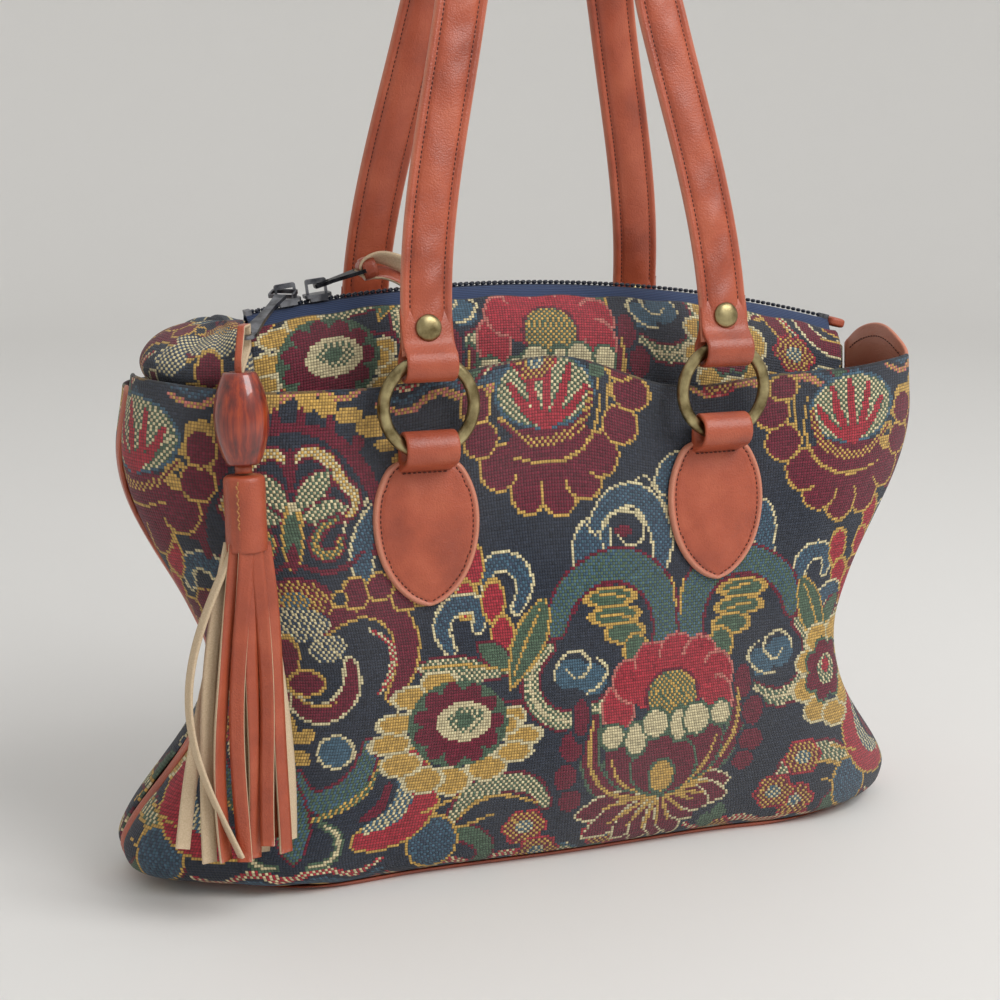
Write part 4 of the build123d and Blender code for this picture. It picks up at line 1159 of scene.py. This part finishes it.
def stuffed_end():
    """Stuffed left end: a half turn of its own profile about an upright line, drawn in to the strips beside the
    zip, with tucks round its top and a closed foot."""
    profile = [(29, PILLOW_FOOT), (30, 220), (35.3, 242), (41, 257), (34, 267.5), (18.45, 274), (0, 275)]
    line = smooth_line(profile, 92)
    radius, z = np.maximum(line[:, :1], 0), line[:, 1:]
    turn = np.radians(np.linspace(90, 270, 92))[None]
    x = PILLOW_X + radius * np.cos(turn)
    y = radius * np.sin(turn)
    close = np.minimum(strip_half(np.clip(z - PILLOW_ARCH, *STRIP_PROFILE[[-1, 0], 1])), radius)
    close = close * np.clip((PILLOW_CREST - z) / 4, 0.5, 1)
    bend = np.radians(np.linspace(90, 0, 9)[:-1])[None]
    back_x = PILLOW_X + 9 * np.sin(bend) + 0 * radius
    back_y = close + (radius - close) * np.cos(bend)
    x = np.concatenate([back_x, x, back_x[:, ::-1]], 1)
    y = np.concatenate([back_y, y, -back_y[:, ::-1]], 1)
    points = spread(x, y, z)
    around = np.linspace(-1, 1, x.shape[1])[None]
    top = hill(z, 268, 9)
    tuck = -1.8 * top * np.cos(around * 26) * np.abs(around) - 2.6 * hill(z, 271, 4) * hill(around, 0.55, 0.14)
    slump = -1.6 * hill(z, 236, 9) * (1 + 0.4 * np.sin(around * 9)) + 0.9 * np.sin(around * 7 + z / 14)
    soft = (tuck + slump) * np.clip(radius / 12, 0, 1) * np.clip((z - PILLOW_FOOT - 2) / 20, 0, 1)
    points = points + grid_normals(points) * soft[..., None]
    points[-1] = points[-1].mean(0)
    foot = np.broadcast_to([PILLOW_X, 0, PILLOW_FOOT], (1,) + points.shape[1:])
    across = run_along(points, 1)[60:61] + 0 * points[..., 0]
    up = np.broadcast_to(run_along(points, 0)[:, 50:51], across.shape)
    return np.concatenate([foot, points]), across, up


def stuffed_end_piece():
    """Tapestry over the stuffed end, one quad to each stitch."""
    points, across, up = stuffed_end()
    columns = points.shape[1]
    centre_across = np.concatenate([(across[:, :-1] + across[:, 1:]) / 2, across[:, -1:]], 1)
    colour = woven(centre_across + PILLOW_CUT[0], up + PILLOW_CUT[1])
    uv = np.stack(np.meshgrid(np.arange(columns + 1), np.arange(len(points))), 2)
    piece = Piece("stuffed_end").grid(points, wrap=True, uv=uv, thread=colour)
    return piece.make([tapestry], "bag", "tapestry", "zip_left_end")


stuffed_end_piece()


def drawn(value, power):
    """A sine or cosine drawn out by a power, which turns a circle towards a square."""
    return np.sign(value) * np.abs(value) ** power


def lining_pouch():
    """Inner pouch: a rounded oblong tube with a floor, its wall soft, its mouth rolled over."""
    turn = full_turn(120)[None]
    x = POUCH_HALF_LENGTH * drawn(np.cos(turn), POUCH_SQUARE)
    y = POUCH_HALF_DEPTH * drawn(np.sin(turn), POUCH_SQUARE)
    outer_z = np.linspace(POUCH_FOOT, POUCH_TOP, 24)[:, None]
    sag = 1 - 0.02 * np.sin(outer_z / 30 + turn * 3) ** 2
    outer = spread(x * sag, y * sag, outer_z)
    inner = spread(x * sag - POUCH_WALL * np.sign(x), y * sag - POUCH_WALL * np.sign(y), outer_z)[::-1]
    inner[-1, :, 2] = POUCH_FLOOR
    under = outer[0] * [0.6, 0, 1]
    floor = inner[-1] * [0.6, 0, 1]
    return np.concatenate([under[None], outer, inner, floor[None]])


Piece("lining_pouch").grid(lining_pouch(), wrap=True).make([lining], "bag", "lining", "inner_pouch")


def zip_ribbon(side):
    """Zip tape: its flat lip under the teeth and its sloping wing, carried along the arch."""
    profile = np.array([(0.3, -0.6), (1.8, -0.6), (3.2, -0.6), (6.0, -3.6), (9.0, -6.9), (12.0, -10.4), (14.0, -12.6),
                        (13.1, -13.5), (11.2, -11.2), (8.2, -7.9), (5.2, -4.6), (2.9, -1.5), (1.6, -1.5), (0.3, -1.5)])
    place = np.linspace(ZIP_LEFT, ZIP_RIGHT, 180)[:, None]
    x, z = arch(place, profile[None, :, 1])
    points = spread(x, side * profile[None, :, 0], z)
    across = np.append(run_along(points, 1)[0], 0)
    return points, spread(across[None], np.append(place[:, 0], ZIP_RIGHT + 2)[:, None])


for side, name, node in ((-1, "front_zip_ribbon", "front_zip_tape"), (1, "back_zip_ribbon", "back_zip_tape")):
    points, uv = zip_ribbon(side)
    Piece(name).grid(points, wrap=True, uv=uv, flip=side > 0).make([tape], "bag", "zip_tape", node)


def zip_row():
    """Row of zip teeth: short rods across the zip, to its front and back by turns."""
    place = np.arange(ZIP_LEFT + 4.2, ZIP_RIGHT - 4, TOOTH_PITCH)
    side = np.where(np.arange(len(place)) % 2 == 0, 1.0, -1.0)
    x, z = arch(place, 0.6)
    centre = np.stack([x, side * TOOTH_SIDE, z], 1)
    return capsules(centre, np.tile([0.0, 1.0, 0.0], (len(x), 1)), TOOTH_LENGTH, TOOTH_RADIUS)


Piece("zip_teeth_row").copies(zip_row()).make([coil], "bag", "zip_teeth", "zip_teeth")


def pebble(middle, half, power, rows=20, columns=32):
    """Rounded block: a ball's angles, each drawn out by a power towards a box."""
    up = np.linspace(-np.pi / 2, np.pi / 2, rows)[:, None]
    turn = full_turn(columns)[None]
    ring = drawn(np.cos(up), power)
    ball = spread(ring * drawn(np.cos(turn), power), ring * drawn(np.sin(turn), power), drawn(np.sin(up), power))
    return ball * np.asarray(half) + np.asarray(middle)


end_x, end_z = arch(np.array(ZIP_RIGHT + 4.6), np.array(-1.1))
end_tab = pebble((0, 0, 0), (4.7, 7.0, 2.5), 0.45)
end_tilt = np.arcsin((ZIP_RIGHT - ARCH_X) / ARCH_RADIUS)
end_turn = np.array([[np.cos(end_tilt), 0, -np.sin(end_tilt)], [0, 1, 0], [np.sin(end_tilt), 0, np.cos(end_tilt)]])
end_tab = end_tab @ end_turn + [end_x, 0, end_z]
Piece("end_tab_leather").grid(end_tab, wrap=True).make([leather], "bag", "cognac_leather", "zip_end_tab")


# Leaf tabs
def front_surface(x, z):
    """Y of the bag's front at rows of X, each row at its own height."""
    fine = np.linspace(*FRONT_TURNS, 400)
    line = bag_outside(fine, z)
    return np.stack([np.interp(row, at[:, 0], at[:, 1]) for row, at in zip(x, line)])


def front_outward(x, z):
    """Outward direction on the bag's front, from the slopes of its Y."""
    slope_x = (front_surface(x + 1, z) - front_surface(x - 1, z)) / 2
    slope_z = (front_surface(x, z + 1) - front_surface(x, z - 1)) / 2
    return unit(np.stack([slope_x, -np.ones_like(slope_x), slope_z], 2))


def leaf_outline(count):
    """Half widths and heights down one edge of the leaf, from its neck to its tip."""
    edge = [(13, 211), (17, 209), (21.5, 203), (25.6, 191), (26, 176), (20.5, 157.5), (10, 145), (0, 141), (-10, 145),
            (-20.5, 157.5), (-26, 176)]
    line = smooth_line(edge, 4 * count)
    down = line[:np.argmin(line[:, 1])]
    run = line_run(down)
    half, height = read_line(run[-1] * np.linspace(0, 1, count), run, down).T
    half[-1] = 0.0
    return half, height


def leaf_tab(name, middle):
    """Leather leaf on the cloth: rounded rim, a sewn groove inside it and a soft crown with creases."""
    half, height = leaf_outline(64)
    share = np.sin(np.linspace(-1, 1, 49) * np.pi / 2)
    x = middle + half[:, None] * share[None]
    y = front_surface(x, height)
    outward = front_outward(x, height)
    ground = spread(x, y, height[:, None])
    slope = np.gradient(half) / np.maximum(np.abs(np.gradient(height)), 0.05)
    lean = 1 / np.sqrt(1 + np.clip(slope, -3, 3) ** 2)
    inset = np.minimum((1 - np.abs(share))[None] * half[:, None] * lean[:, None], LEAF_TOP - height[:, None])
    inset = np.maximum(inset, 0)
    rounded = np.sqrt(np.clip(1 - (1 - np.clip(inset / 1.7, 0, 1)) ** 2, 0, 1))
    groove = -0.75 * hill(inset, LEAF_SEAM, 0.9)
    crown = 1.3 * ease((inset - 4) / 14)
    crease = 0.3 * np.sin(x / 3.7 + height[:, None] / 5.1) * ease((inset - 5) / 8) * hill(height[:, None], 168, 16)
    thick = 0.3 + 2.5 * rounded + groove * (inset > 0.2) + crown + crease
    rim = np.clip(1 - ease((inset - 1.2) / 2.2), 0, 1) * 0.9
    piece = Piece(name)
    piece.grid(ground + outward * thick[..., None], rim=rim, flip=True)
    piece.grid(ground + outward * 0.3)
    seam = np.argmin(np.abs(inset - LEAF_SEAM) + 50 * (share[None] > 0), 1)
    row = np.arange(4, 60)
    for column in (seam, len(share) - 1 - seam):
        line = (ground + outward * (thick + 0.05)[..., None])[row, column[row]]
        piece.copies(thread_row(line, outward[row, column[row]], *EDGE_STITCH), 1)
    across = np.linspace(-12, 12, 30)
    neck_y = front_surface(middle + across[None], np.array([206.0]))[0]
    line = spread(middle + across, neck_y - 3.35, 205.6)
    piece.copies(thread_row(line, np.tile([0.0, -1, 0], (30, 1)), *NECK_STITCH), 1)
    foot_y = front_surface(np.array([[middle]]), np.array([FOLD_FOOT]))[0, 0] - 1.6
    loop = fold_loop((RING_Y, TAB_AXIS), FOLD_RADIUS, (foot_y, FOLD_FOOT), 1.3)
    piece.grid(ring_fold(loop, (RING_Y, TAB_AXIS), middle, 13.0), close=True, wrap=True)
    return piece


def fold_loop(big, big_radius, small, small_radius, count=56):
    """Outline, in Y and Z, round two circles and the straight sides between them."""
    turn = full_turn(720)
    ray = np.stack([np.cos(turn), np.sin(turn)], 1)
    reach = np.maximum(ray @ np.asarray(big) + big_radius, ray @ np.asarray(small) + small_radius)
    slope = np.gradient(reach, turn)
    slope[[0, -1]] = slope[[1, -2]]
    loop = ray * reach[:, None] + np.stack([-ray[:, 1], ray[:, 0]], 1) * slope[:, None]
    run = line_run(loop)
    return read_line(np.linspace(0, run[-1], count, endpoint=False), run, loop)


def ring_fold(loop, centre, middle, half_width):
    """Leather folded round a ring: the outline carried across, its edges rounded, and the bore inside."""
    step = np.roll(loop, -1, 0) - np.roll(loop, 1, 0)
    inward = unit(np.stack([-step[:, 1], step[:, 0]], 1))
    angle = np.arctan2(loop[:, 1] - centre[1], loop[:, 0] - centre[0])
    hole = np.asarray(centre) + FOLD_BORE * np.stack([np.cos(angle), np.sin(angle)], 1)
    across = np.array([-1, -0.985, -0.95, -0.88, -0.6, -0.2, 0.2, 0.6, 0.88, 0.95, 0.985, 1]) * half_width
    drop = np.array([0.9, 0.45, 0.12, 0.0, 0.0, 0.0, 0.0, 0.0, 0.0, 0.12, 0.45, 0.9])
    outer = loop[None] + inward[None] * drop[:, None, None]
    inner = np.repeat(hole[None], 4, 0)
    inner_x = np.array([0.97, 0.5, -0.5, -0.97]) * half_width
    flat = np.concatenate([outer, inner])
    x = np.concatenate([across, inner_x])[:, None, None] + middle
    return np.concatenate([np.broadcast_to(x, flat.shape[:2] + (1,)), flat], 2)


for side, hand in ((-1, "left"), (1, "right")):
    leaf_tab(f"front_{hand}_leaf", side * TAB_X).make_pair(
        [leather, thread], "bag", "cognac_leather", f"front_{hand}_tab")


def ring_pair():
    """Two round rings: a circle carried round a circle."""
    turn, around = full_turn(72)[:, None], full_turn(20)[None]
    reach = RING_RADIUS + WIRE_RADIUS * np.cos(around)
    ring = spread(reach * np.cos(turn), RING_Y + WIRE_RADIUS * np.sin(around), RING_Z + reach * np.sin(turn))
    piece = Piece("front_ring_pair")
    for side in (-1, 1):
        piece.grid(ring + [side * TAB_X, 0, 0], wrap=True, close=True)
    return piece


ring_pair().make_pair([brass], "front_rings", "antique_brass", "front_rings")


# Straps, worked out upright about the rings' upper line and then leaned into place
def strap_place(points):
    """Leans an upright strap's points back onto the bag."""
    lean = np.array([[1, 0, 0], [0, np.cos(STRAP_LEAN), -np.sin(STRAP_LEAN)],
                     [0, np.sin(STRAP_LEAN), np.cos(STRAP_LEAN)]])
    return points @ lean + [0, RING_Y, STRAP_AXIS]


def strap_frame(count):
    """The strap's middle line from ring to ring, with its facing and width directions: it faces forward at its
    ends and turns to lie flat over the top."""
    half = [(TAB_X, 4), (TAB_X, 10.4), (74.5, 41.6), (51, 162.4), (42, 209.6), (26, 250.2), (0, STRAP_RISE)]
    line = smooth_line(half + [(-x, z) for x, z in half[-2::-1]], count)
    line = np.stack([line[:, 0], 0 * line[:, 0], line[:, 1]], 1)
    heading = unit(np.gradient(line, axis=0))
    share = 1 - np.abs(np.linspace(-1, 1, count))
    turn = (ease((share - 0.55) / 0.45) * np.pi / 2)[:, None]
    outward = np.stack([heading[:, 2], 0 * share, -heading[:, 0]], 1)
    face = np.array([0, -1.0, 0]) * np.cos(turn) + outward * np.sin(turn)
    return line, face, np.cross(face, heading)


def strap_section():
    """Half of the strap's section from edge to edge: places across and half thicknesses, with a sewn groove."""
    across = np.concatenate([[-12.5, -12.2, -11.6], np.linspace(-10.9, 10.9, 33), [11.6, 12.2, 12.5]])
    pad = 1.7 * np.clip(1 - (across / STRAP_SEAM) ** 2, 0, 1) ** 0.8
    thick = 1.65 + pad + 0.35 * hill(np.abs(across), 10.4, 1.0) - 0.5 * hill(np.abs(across), STRAP_SEAM, 0.7)
    thick[[0, 1, 2, -3, -2, -1]] = [0.15, 1.05, 1.55, 1.55, 1.05, 0.15]
    return across, thick


def strap_surface(count=260):
    """Padded strap: its section carried along the middle line, with slanting wrinkles in the padding."""
    line, face, wide = strap_frame(count)
    across, thick = strap_section()
    run = line_run(line)[:, None]
    bow = np.clip(1 - (across / 8.6) ** 2, 0, 1)[None]
    fine = np.sin(run / 2.9 + across[None] / 4.0 + 0.8 * np.sin(run / 21)) * (0.55 + 0.45 * np.sin(run / 27))
    wrinkle = bow * (0.42 * fine + 0.3 * np.sin(run / 7.5 - across[None] / 4.5) - 0.2)
    front = line[:, None] + wide[:, None] * across[None, :, None] + face[:, None] * (thick[None] + wrinkle)[..., None]
    back = line[:, None] + wide[:, None] * across[None, ::-1, None]
    back = back - face[:, None] * (thick[None, ::-1] - 0.5 * wrinkle[:, ::-1])[..., None]
    loop = np.concatenate([front, back], 1)
    rim = np.concatenate([1 - ease((STRAP_WIDTH / 2 - np.abs(across)) / 1.6)] * 2) * 0.7
    return loop, rim


def strap_end(side):
    """Strap end folded round its ring: outline round the ring and up both faces, thinner at its sewn edges."""
    turn = np.linspace(-np.pi / 2, 0.62, 20)
    ring = FOLD_RADIUS * np.stack([np.cos(turn), np.sin(turn)], 1)
    tail = np.array([(5.0, 7.0), (3.9, 8.8), (3.3, 10.0), (3.2, 12.0), (3.1, 15.0), (2.9, 18.0), (2.4, 21.0),
                     (1.6, 24.0), (0.2, 26.4)])
    half = np.concatenate([ring, tail])
    loop = np.concatenate([half, half[::-1] * [-1, 1]])
    rows = ring_fold(loop, (0, 0), 0.0, STRAP_WIDTH / 2)
    edge = (rows[..., 0] / (STRAP_WIDTH / 2)) ** 2 * ease((rows[..., 2] - 8) / 6) * (np.abs(rows[..., 1]) > 0.5)
    rows[:12, :, 1] *= (1 - 0.42 * edge)[:12]
    return rows + [side * TAB_X, 0, 0]


def dome(middle, facing, radius, height):
    """Round cap with a turned rim: its profile carried round."""
    profile = np.array([(0, 1.0), (0.3, 0.97), (0.55, 0.88), (0.78, 0.68), (0.93, 0.38), (1.0, 0.1), (0.97, 0.0),
                        (0.0, 0.0)])
    turn = full_turn(32)[None]
    reach = radius * profile[:, :1]
    return spread(middle[0] + reach * np.cos(turn), middle[1] + facing * height * profile[:, 1:],
                  middle[2] + reach * np.sin(turn))


front_strap, front_rivets = Piece("front_strap_leather"), Piece("front_rivet_caps")
strap_loop, strap_rim = strap_surface()
front_strap.grid(strap_place(strap_loop), wrap=True, rim=strap_rim[None], flip=True)
strap_line, strap_face, strap_wide = strap_frame(400)
for across in (-STRAP_SEAM, STRAP_SEAM):
    for facing in (1, -1):
        sewn = strap_line + strap_wide * across + strap_face * facing * 1.25
        sewn, normal = strap_place(sewn), strap_place(strap_face * facing) - strap_place(np.zeros(3))
        front_strap.copies(thread_row(sewn[14:-14], normal[14:-14], *STRAP_STITCH), 1)
for side in (-1, 1):
    front_strap.grid(strap_place(strap_end(side)), close=True, wrap=True)
    for facing in (-1, 1):
        cap = dome((side * TAB_X, facing * RIVET_SIDE, RIVET_UP), facing, RIVET_RADIUS, RIVET_RISE)
        front_rivets.grid(strap_place(cap), wrap=True, flip=facing < 0)
front_strap.make_pair([leather, thread], "front_handle", "cognac_leather", "front_strap")
front_rivets.make_pair([brass], "front_handle", "antique_brass", "front_rivets")


# Tassel on the left pull
PULL_HOLE = np.array([-158.792, -48.716, 274.0])
PULL_HEADING = np.array([-0.50886, -0.86085, 0.0])
PULL_SIDE = np.array([0.86085, -0.50886, 0.0])
UP = np.array([0.0, 0.0, 1.0])


def tassel_place(points):
    """Sets points about the tassel's own axis, bead top at 0, onto the hanging tassel."""
    x, y, z = np.moveaxis(np.asarray(points, float), -1, 0)
    down, back = np.cos(TASSEL_TILT), np.sin(TASSEL_TILT)
    return TASSEL_TOP + np.stack([x, y * down + z * back, z * down - y * back], -1)


def turned(profile, columns=48):
    """Profile of radius and height carried round the tassel's axis."""
    profile = np.asarray(profile, float)
    turn = full_turn(columns)[None]
    return spread(profile[:, :1] * np.cos(turn), profile[:, :1] * np.sin(turn), profile[:, 1:])


def corner_cut(points, times=3):
    """Smooths a line by cutting its corners again and again."""
    points = np.asarray(points, float)
    for _ in range(times):
        near, far = 0.75 * points[:-1] + 0.25 * points[1:], 0.25 * points[:-1] + 0.75 * points[1:]
        middle = np.stack([near, far], 1).reshape(-1, points.shape[1])
        points = np.concatenate([points[:1], middle, points[-1:]])
    return points


def ribbon(line, wide, width, thickness):
    """Flat strip along a line: its face, back, two long edges and two ends, each a grid."""
    heading = unit(np.gradient(line, axis=0))
    wide = unit(wide - heading * (wide * heading).sum(1, keepdims=True))
    face = np.cross(heading, wide)
    across = np.array([-0.5, -0.25, 0.0, 0.25, 0.5])[None, :, None] * width
    middle = line[:, None] + wide[:, None] * across
    top, under = middle + face[:, None] * thickness / 2, middle - face[:, None] * thickness / 2
    left = np.stack([under[:, 0], top[:, 0]], 1)
    right = np.stack([top[:, -1], under[:, -1]], 1)
    ends = [np.stack([under[0], top[0]]), np.stack([top[-1], under[-1]])]
    return top, under[:, ::-1], left, right, ends


def lay_ribbon(piece, strip, face_finish, back_finish):
    """Adds a strip to a piece, its back and cut edges in their own finish."""
    *sides, ends = strip
    for points, finish in zip(sides, (face_finish, back_finish, back_finish, back_finish)):
        piece.grid(points, finish, flip=True)
    for end in ends:
        piece.grid(end, back_finish)


loop_flat = corner_cut([(11.35, -18), (11.35, -16), (10.6, -15.2), (0.8, -6.2), (0.0, -5.5), (0.0, -4.6), (0.0, 3.6),
                        (0.0, 4.5), (0.9, 4.5), (6.6, 4.5), (7.5, 4.5), (7.9, 3.7), (12.7, -9.0), (13.05, -10),
                        (13.05, -18)])
loop_line = PULL_HOLE + loop_flat[:, :1] * PULL_HEADING + loop_flat[:, 1:] * UP
loop_piece = Piece("tassel_loop_leather")
lay_ribbon(loop_piece, ribbon(loop_line, np.tile(PULL_SIDE, (len(loop_line), 1)), 3.3, 1.2), 0, 1)
loop_piece.make([leather, suede], "tassel", "cognac_leather", "tassel_loop")

bead_share = np.linspace(-1, 1, 40)
bead_arc = np.stack([7.5 + 5.0 * (1 - bead_share**2), -21 + 20.6 * bead_share], 1)[::-1]
bead_profile = np.concatenate([[(3.2, -0.9), (3.7, -0.2), (5.8, 0.0)], bead_arc,
                               [(5.8, -42.0), (3.7, -41.8), (3.2, -41.1)]])
neck_profile = [(0, -42.1), (3.6, -42.1), (4.0, -43.2), (3.7, -44.4), (4.0, -45.6), (0, -46.4)]
Piece("wooden_bead").grid(tassel_place(turned(bead_profile)), wrap=True, close=True, flip=True).make(
    [wood], "tassel", "polished_wood", "tassel_bead")
Piece("tassel_neck_leather").grid(tassel_place(turned(neck_profile, 24)), wrap=True, flip=True).make(
    [leather], "tassel", "cognac_leather", "tassel_neck")


def collar_roll():
    """Rolled leather collar: a spiral turn with its sewn lap, rounded edges and a hollow foot."""
    height = np.array([-46.6, -46.8, -47.6, -49, -54, -60, -66, -72, -77, -79.8, -80.9, -81.4])
    reach = np.array([0.0, 8.0, 9.1, 9.5, 9.5, 9.45, 9.4, 9.45, 9.5, 9.5, 9.3, 8.8])
    turn = full_turn(64)[None]
    lap = -0.55 * hill(np.angle(np.exp(1j * (turn + 2.3))), 0, 0.1)
    radius = reach[:, None] + lap * (reach > 8)[:, None]
    outer = spread(radius * np.cos(turn), radius * np.sin(turn), height[:, None])
    inner = outer[[-1, -1, -1]] * [[[0.98, 0.98, 1]], [[0.96, 0.96, 1]], [[0.0, 0.0, 1]]]
    inner[1:, :, 2] = -77.0
    return np.concatenate([outer, inner])


collar = Piece("tassel_collar_leather").grid(tassel_place(collar_roll()), wrap=True, flip=True)
lap_line = spread(COLLAR_RADIUS * np.cos(LAP_TURN), COLLAR_RADIUS * np.sin(LAP_TURN), np.linspace(-48.5, -71, 40))
lap_line[:, 0] += 0.35 * np.sin(np.linspace(0, 40, 40))
collar.copies(thread_row(tassel_place(lap_line), np.tile([-0.5, -0.86, 0], (40, 1)), *COLLAR_STITCH), 1)
collar.make([leather, gilt_thread], "tassel", "cognac_leather", "tassel_collar")


# Each strip: start across and deep, end across and deep, length, bow across, width, turn in degrees at its end
FRINGE = [
    (-6.0, 2.5, -36.0, 0.0, 140, -3.0, 6.6, 172), (-6.8, -2.5, -12.0, -10.5, 144, -21.0, 5.0, 110),
    (-6.5, 0.0, -24.0, -3.0, 147, -8.0, 7.0, 196), (-5.0, -4.0, -17.0, -7.2, 146, -6.5, 6.8, 34),
    (-2.6, -6.4, -10.0, -9.6, 147, -3.0, 6.8, -24), (0.6, -5.6, -4.0, -6.4, 147, -0.5, 6.8, 22),
    (3.4, -6.2, 2.6, -9.0, 141, 1.0, 6.4, -26), (6.2, -3.4, 10.0, -6.2, 146, 3.0, 6.8, 28),
    (6.8, 0.6, 14.0, -0.5, 142, 3.4, 6.6, 215), (3.6, 3.6, 2.0, 1.5, 147, 1.5, 7.0, 186),
    (0.2, 5.6, -7.0, 4.5, 145, -1.0, 7.0, 12), (-3.8, 4.8, -20.0, 3.6, 143, -4.0, 7.0, -14),
    (2.0, -1.6, 6.0, -2.4, 140, 1.0, 6.0, 18), (-2.2, -1.8, -6.5, -3.4, 144, -2.0, 6.0, 196),
]


def fringe():
    """Hanging strips: each falls from inside the collar to its own end, bowed sideways and turned on its way."""
    piece = Piece("tassel_fringe")
    share = np.linspace(0, 1, 44)[:, None]
    for index, (start_x, start_y, end_x, end_y, length, bow, width, turned_by) in enumerate(FRINGE):
        across = start_x + (end_x - start_x) * share**1.25 + bow * np.sin(np.pi * share)
        across = across + 0.9 * np.sin(2 * np.pi * share + index * 1.9)
        deep = start_y + (end_y - start_y) * share + 0.8 * np.sin(np.pi * share + index)
        line = np.concatenate([across, deep, FRINGE_TOP - length * share], 1)
        turn = np.radians(turned_by) * (ease(share * 2.2) if abs(turned_by) < 90 else np.ones_like(share))
        wide = np.concatenate([np.cos(turn), np.sin(turn), 0 * turn], 1)
        lay_ribbon(piece, ribbon(tassel_place(line), wide, width, STRIP_THICK), 0, 1)
    return piece


fringe_piece = fringe().make([leather, suede], "tassel", "cognac_leather", "tassel_strips")

# Leather strip through the right pull
THONG_ON = np.array([0.95724, 0.0, 0.28928])
THONG_UP = np.array([-0.28928, 0.0, 0.95724])
THONG_SLOT = np.array([-114.852, 0.0, 289.828]) + 22.8 * THONG_ON
THONG_TAILS = [
    [(1.0, 0.0), (0.0, 0.4), (0.0, 2.6), (2.0, 4.2), (6.0, 4.6), (12.0, 3.4), (18.0, -0.6), (24.0, -6.0), (27.0, -8.0)],
    [(1.0, 0.0), (0.0, -0.4), (0.0, -2.4), (2.0, -3.4), (6.0, -3.4), (11.0, -4.2), (16.0, -7.0), (20.0, -10.5)],
]


def thong():
    """Strip folded through the pull: two tails that widen and twist as they fall, and a band wrapped round both."""
    piece = Piece("pull_thong_leather")
    for tail, twist in zip(THONG_TAILS, (1.0, -0.6)):
        flat = corner_cut(tail)
        share = np.linspace(0, 1, len(flat))[:, None]
        line = THONG_SLOT + flat[:, :1] * THONG_ON + flat[:, 1:] * THONG_UP - [[0, 2.0, 0]] * share * twist
        wide = np.array([[0.0, 1.0, 0.0]]) * (1 - 0.75 * share) - THONG_UP * 0.9 * ease(share * 1.4 - 0.3) * twist
        lay_ribbon(piece, ribbon(line, wide, 7.0 + 2.5 * share[..., None], STRIP_THICK), 0, 1)
    turn = full_turn(28)[None]
    on = np.array([-3.6, -3.4, -1.5, 1.0, 3.2, 3.4])[:, None]
    out = np.array([0.0, 0.8, 1.2, 1.2, 0.8, 0.0])[:, None]
    band = (THONG_SLOT + (on + 4.6)[..., None] * THONG_ON
            + ((5.0 + out) * np.cos(turn))[..., None] * [0.0, 1.0, 0.0]
            + ((4.6 + out) * np.sin(turn))[..., None] * THONG_UP)
    return piece.grid(band, wrap=True)


thong().make([leather, suede], "right_pull", "cognac_leather", "pull_thong")

# Metal pieces of the zip, shown as they were built
for node, finish in (("zip_stops", gunmetal), ("left_slider", gunmetal), ("right_slider", gunmetal),
                     ("left_pull", gunmetal), ("right_pull", blackened)):
    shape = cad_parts[node].data
    shape.materials.clear()
    shape.materials.append(finish.material)


# Studio, in metres and degrees
BACKGROUND = 0.75
FLOOR_FLAT, FLOOR_BEND, FLOOR_WALL, FLOOR_SIDES = 2.2, 0.8, 3.2, 64
KEY_POWER, KEY_SIZE, KEY_PLACE, KEY_TURN = 30.0, 1.2, (0.9, -1.3, 1.7), (48, 0, 35)
LENS, CAMERA_PLACE, CAMERA_TURN = 64.8, (-0.320, -0.850, 0.377), (77.5, 0, -19.4)


def floor_bowl():
    """Seamless floor: a flat disc that bends up through a quarter circle into a wall, carried round."""
    bend = np.linspace(0.1, np.pi / 2, 16)
    reach = np.concatenate([np.linspace(0, FLOOR_FLAT, 23), FLOOR_FLAT + FLOOR_BEND * np.sin(bend),
                            [FLOOR_FLAT + FLOOR_BEND]])[:, None]
    rise = np.concatenate([np.zeros(23), FLOOR_BEND - FLOOR_BEND * np.cos(bend), [FLOOR_WALL]])[:, None]
    turn = full_turn(FLOOR_SIDES)[None]
    points = spread(reach * np.cos(turn), reach * np.sin(turn), rise)
    corner = quads(len(reach), FLOOR_SIDES, wrap=True)[0][:, [0, 3, 2, 1]]
    mesh = bpy.data.meshes.new("floor")
    mesh.from_pydata(points.reshape(-1, 3).tolist(), [], corner.tolist())
    mesh.shade_smooth()
    mesh.materials.append(Finish("pale_floor", Base_Color=(0.78, 0.77, 0.75), Roughness=0.7).material)
    return mesh


def stand(name, data, place=(0, 0, 0), turn=(0, 0, 0)):
    """Sets an object of the studio in its place."""
    thing = bpy.data.objects.new(name, data)
    thing.location = place
    thing.rotation_euler = np.radians(turn)
    bpy.context.scene.collection.objects.link(thing)
    return thing


def studio():
    """Pale floor and background, a soft key light from the upper right, and the camera."""
    scene = bpy.context.scene
    scene.world = bpy.data.worlds.new("studio")
    scene.world.use_nodes = True
    sky = scene.world.node_tree.nodes["Background"].inputs
    sky[0].default_value = (1.0, 1.0, 1.0, 1.0)
    sky[1].default_value = BACKGROUND
    stand("floor", floor_bowl())
    lamp = bpy.data.lights.new("key", "AREA")
    lamp.size, lamp.energy = KEY_SIZE, KEY_POWER
    stand("key", lamp, KEY_PLACE, KEY_TURN)
    camera = bpy.data.cameras.new("camera")
    camera.lens = LENS
    scene.camera = stand("camera", camera, CAMERA_PLACE, CAMERA_TURN)
    scene.view_settings.view_transform = "Standard"


studio()
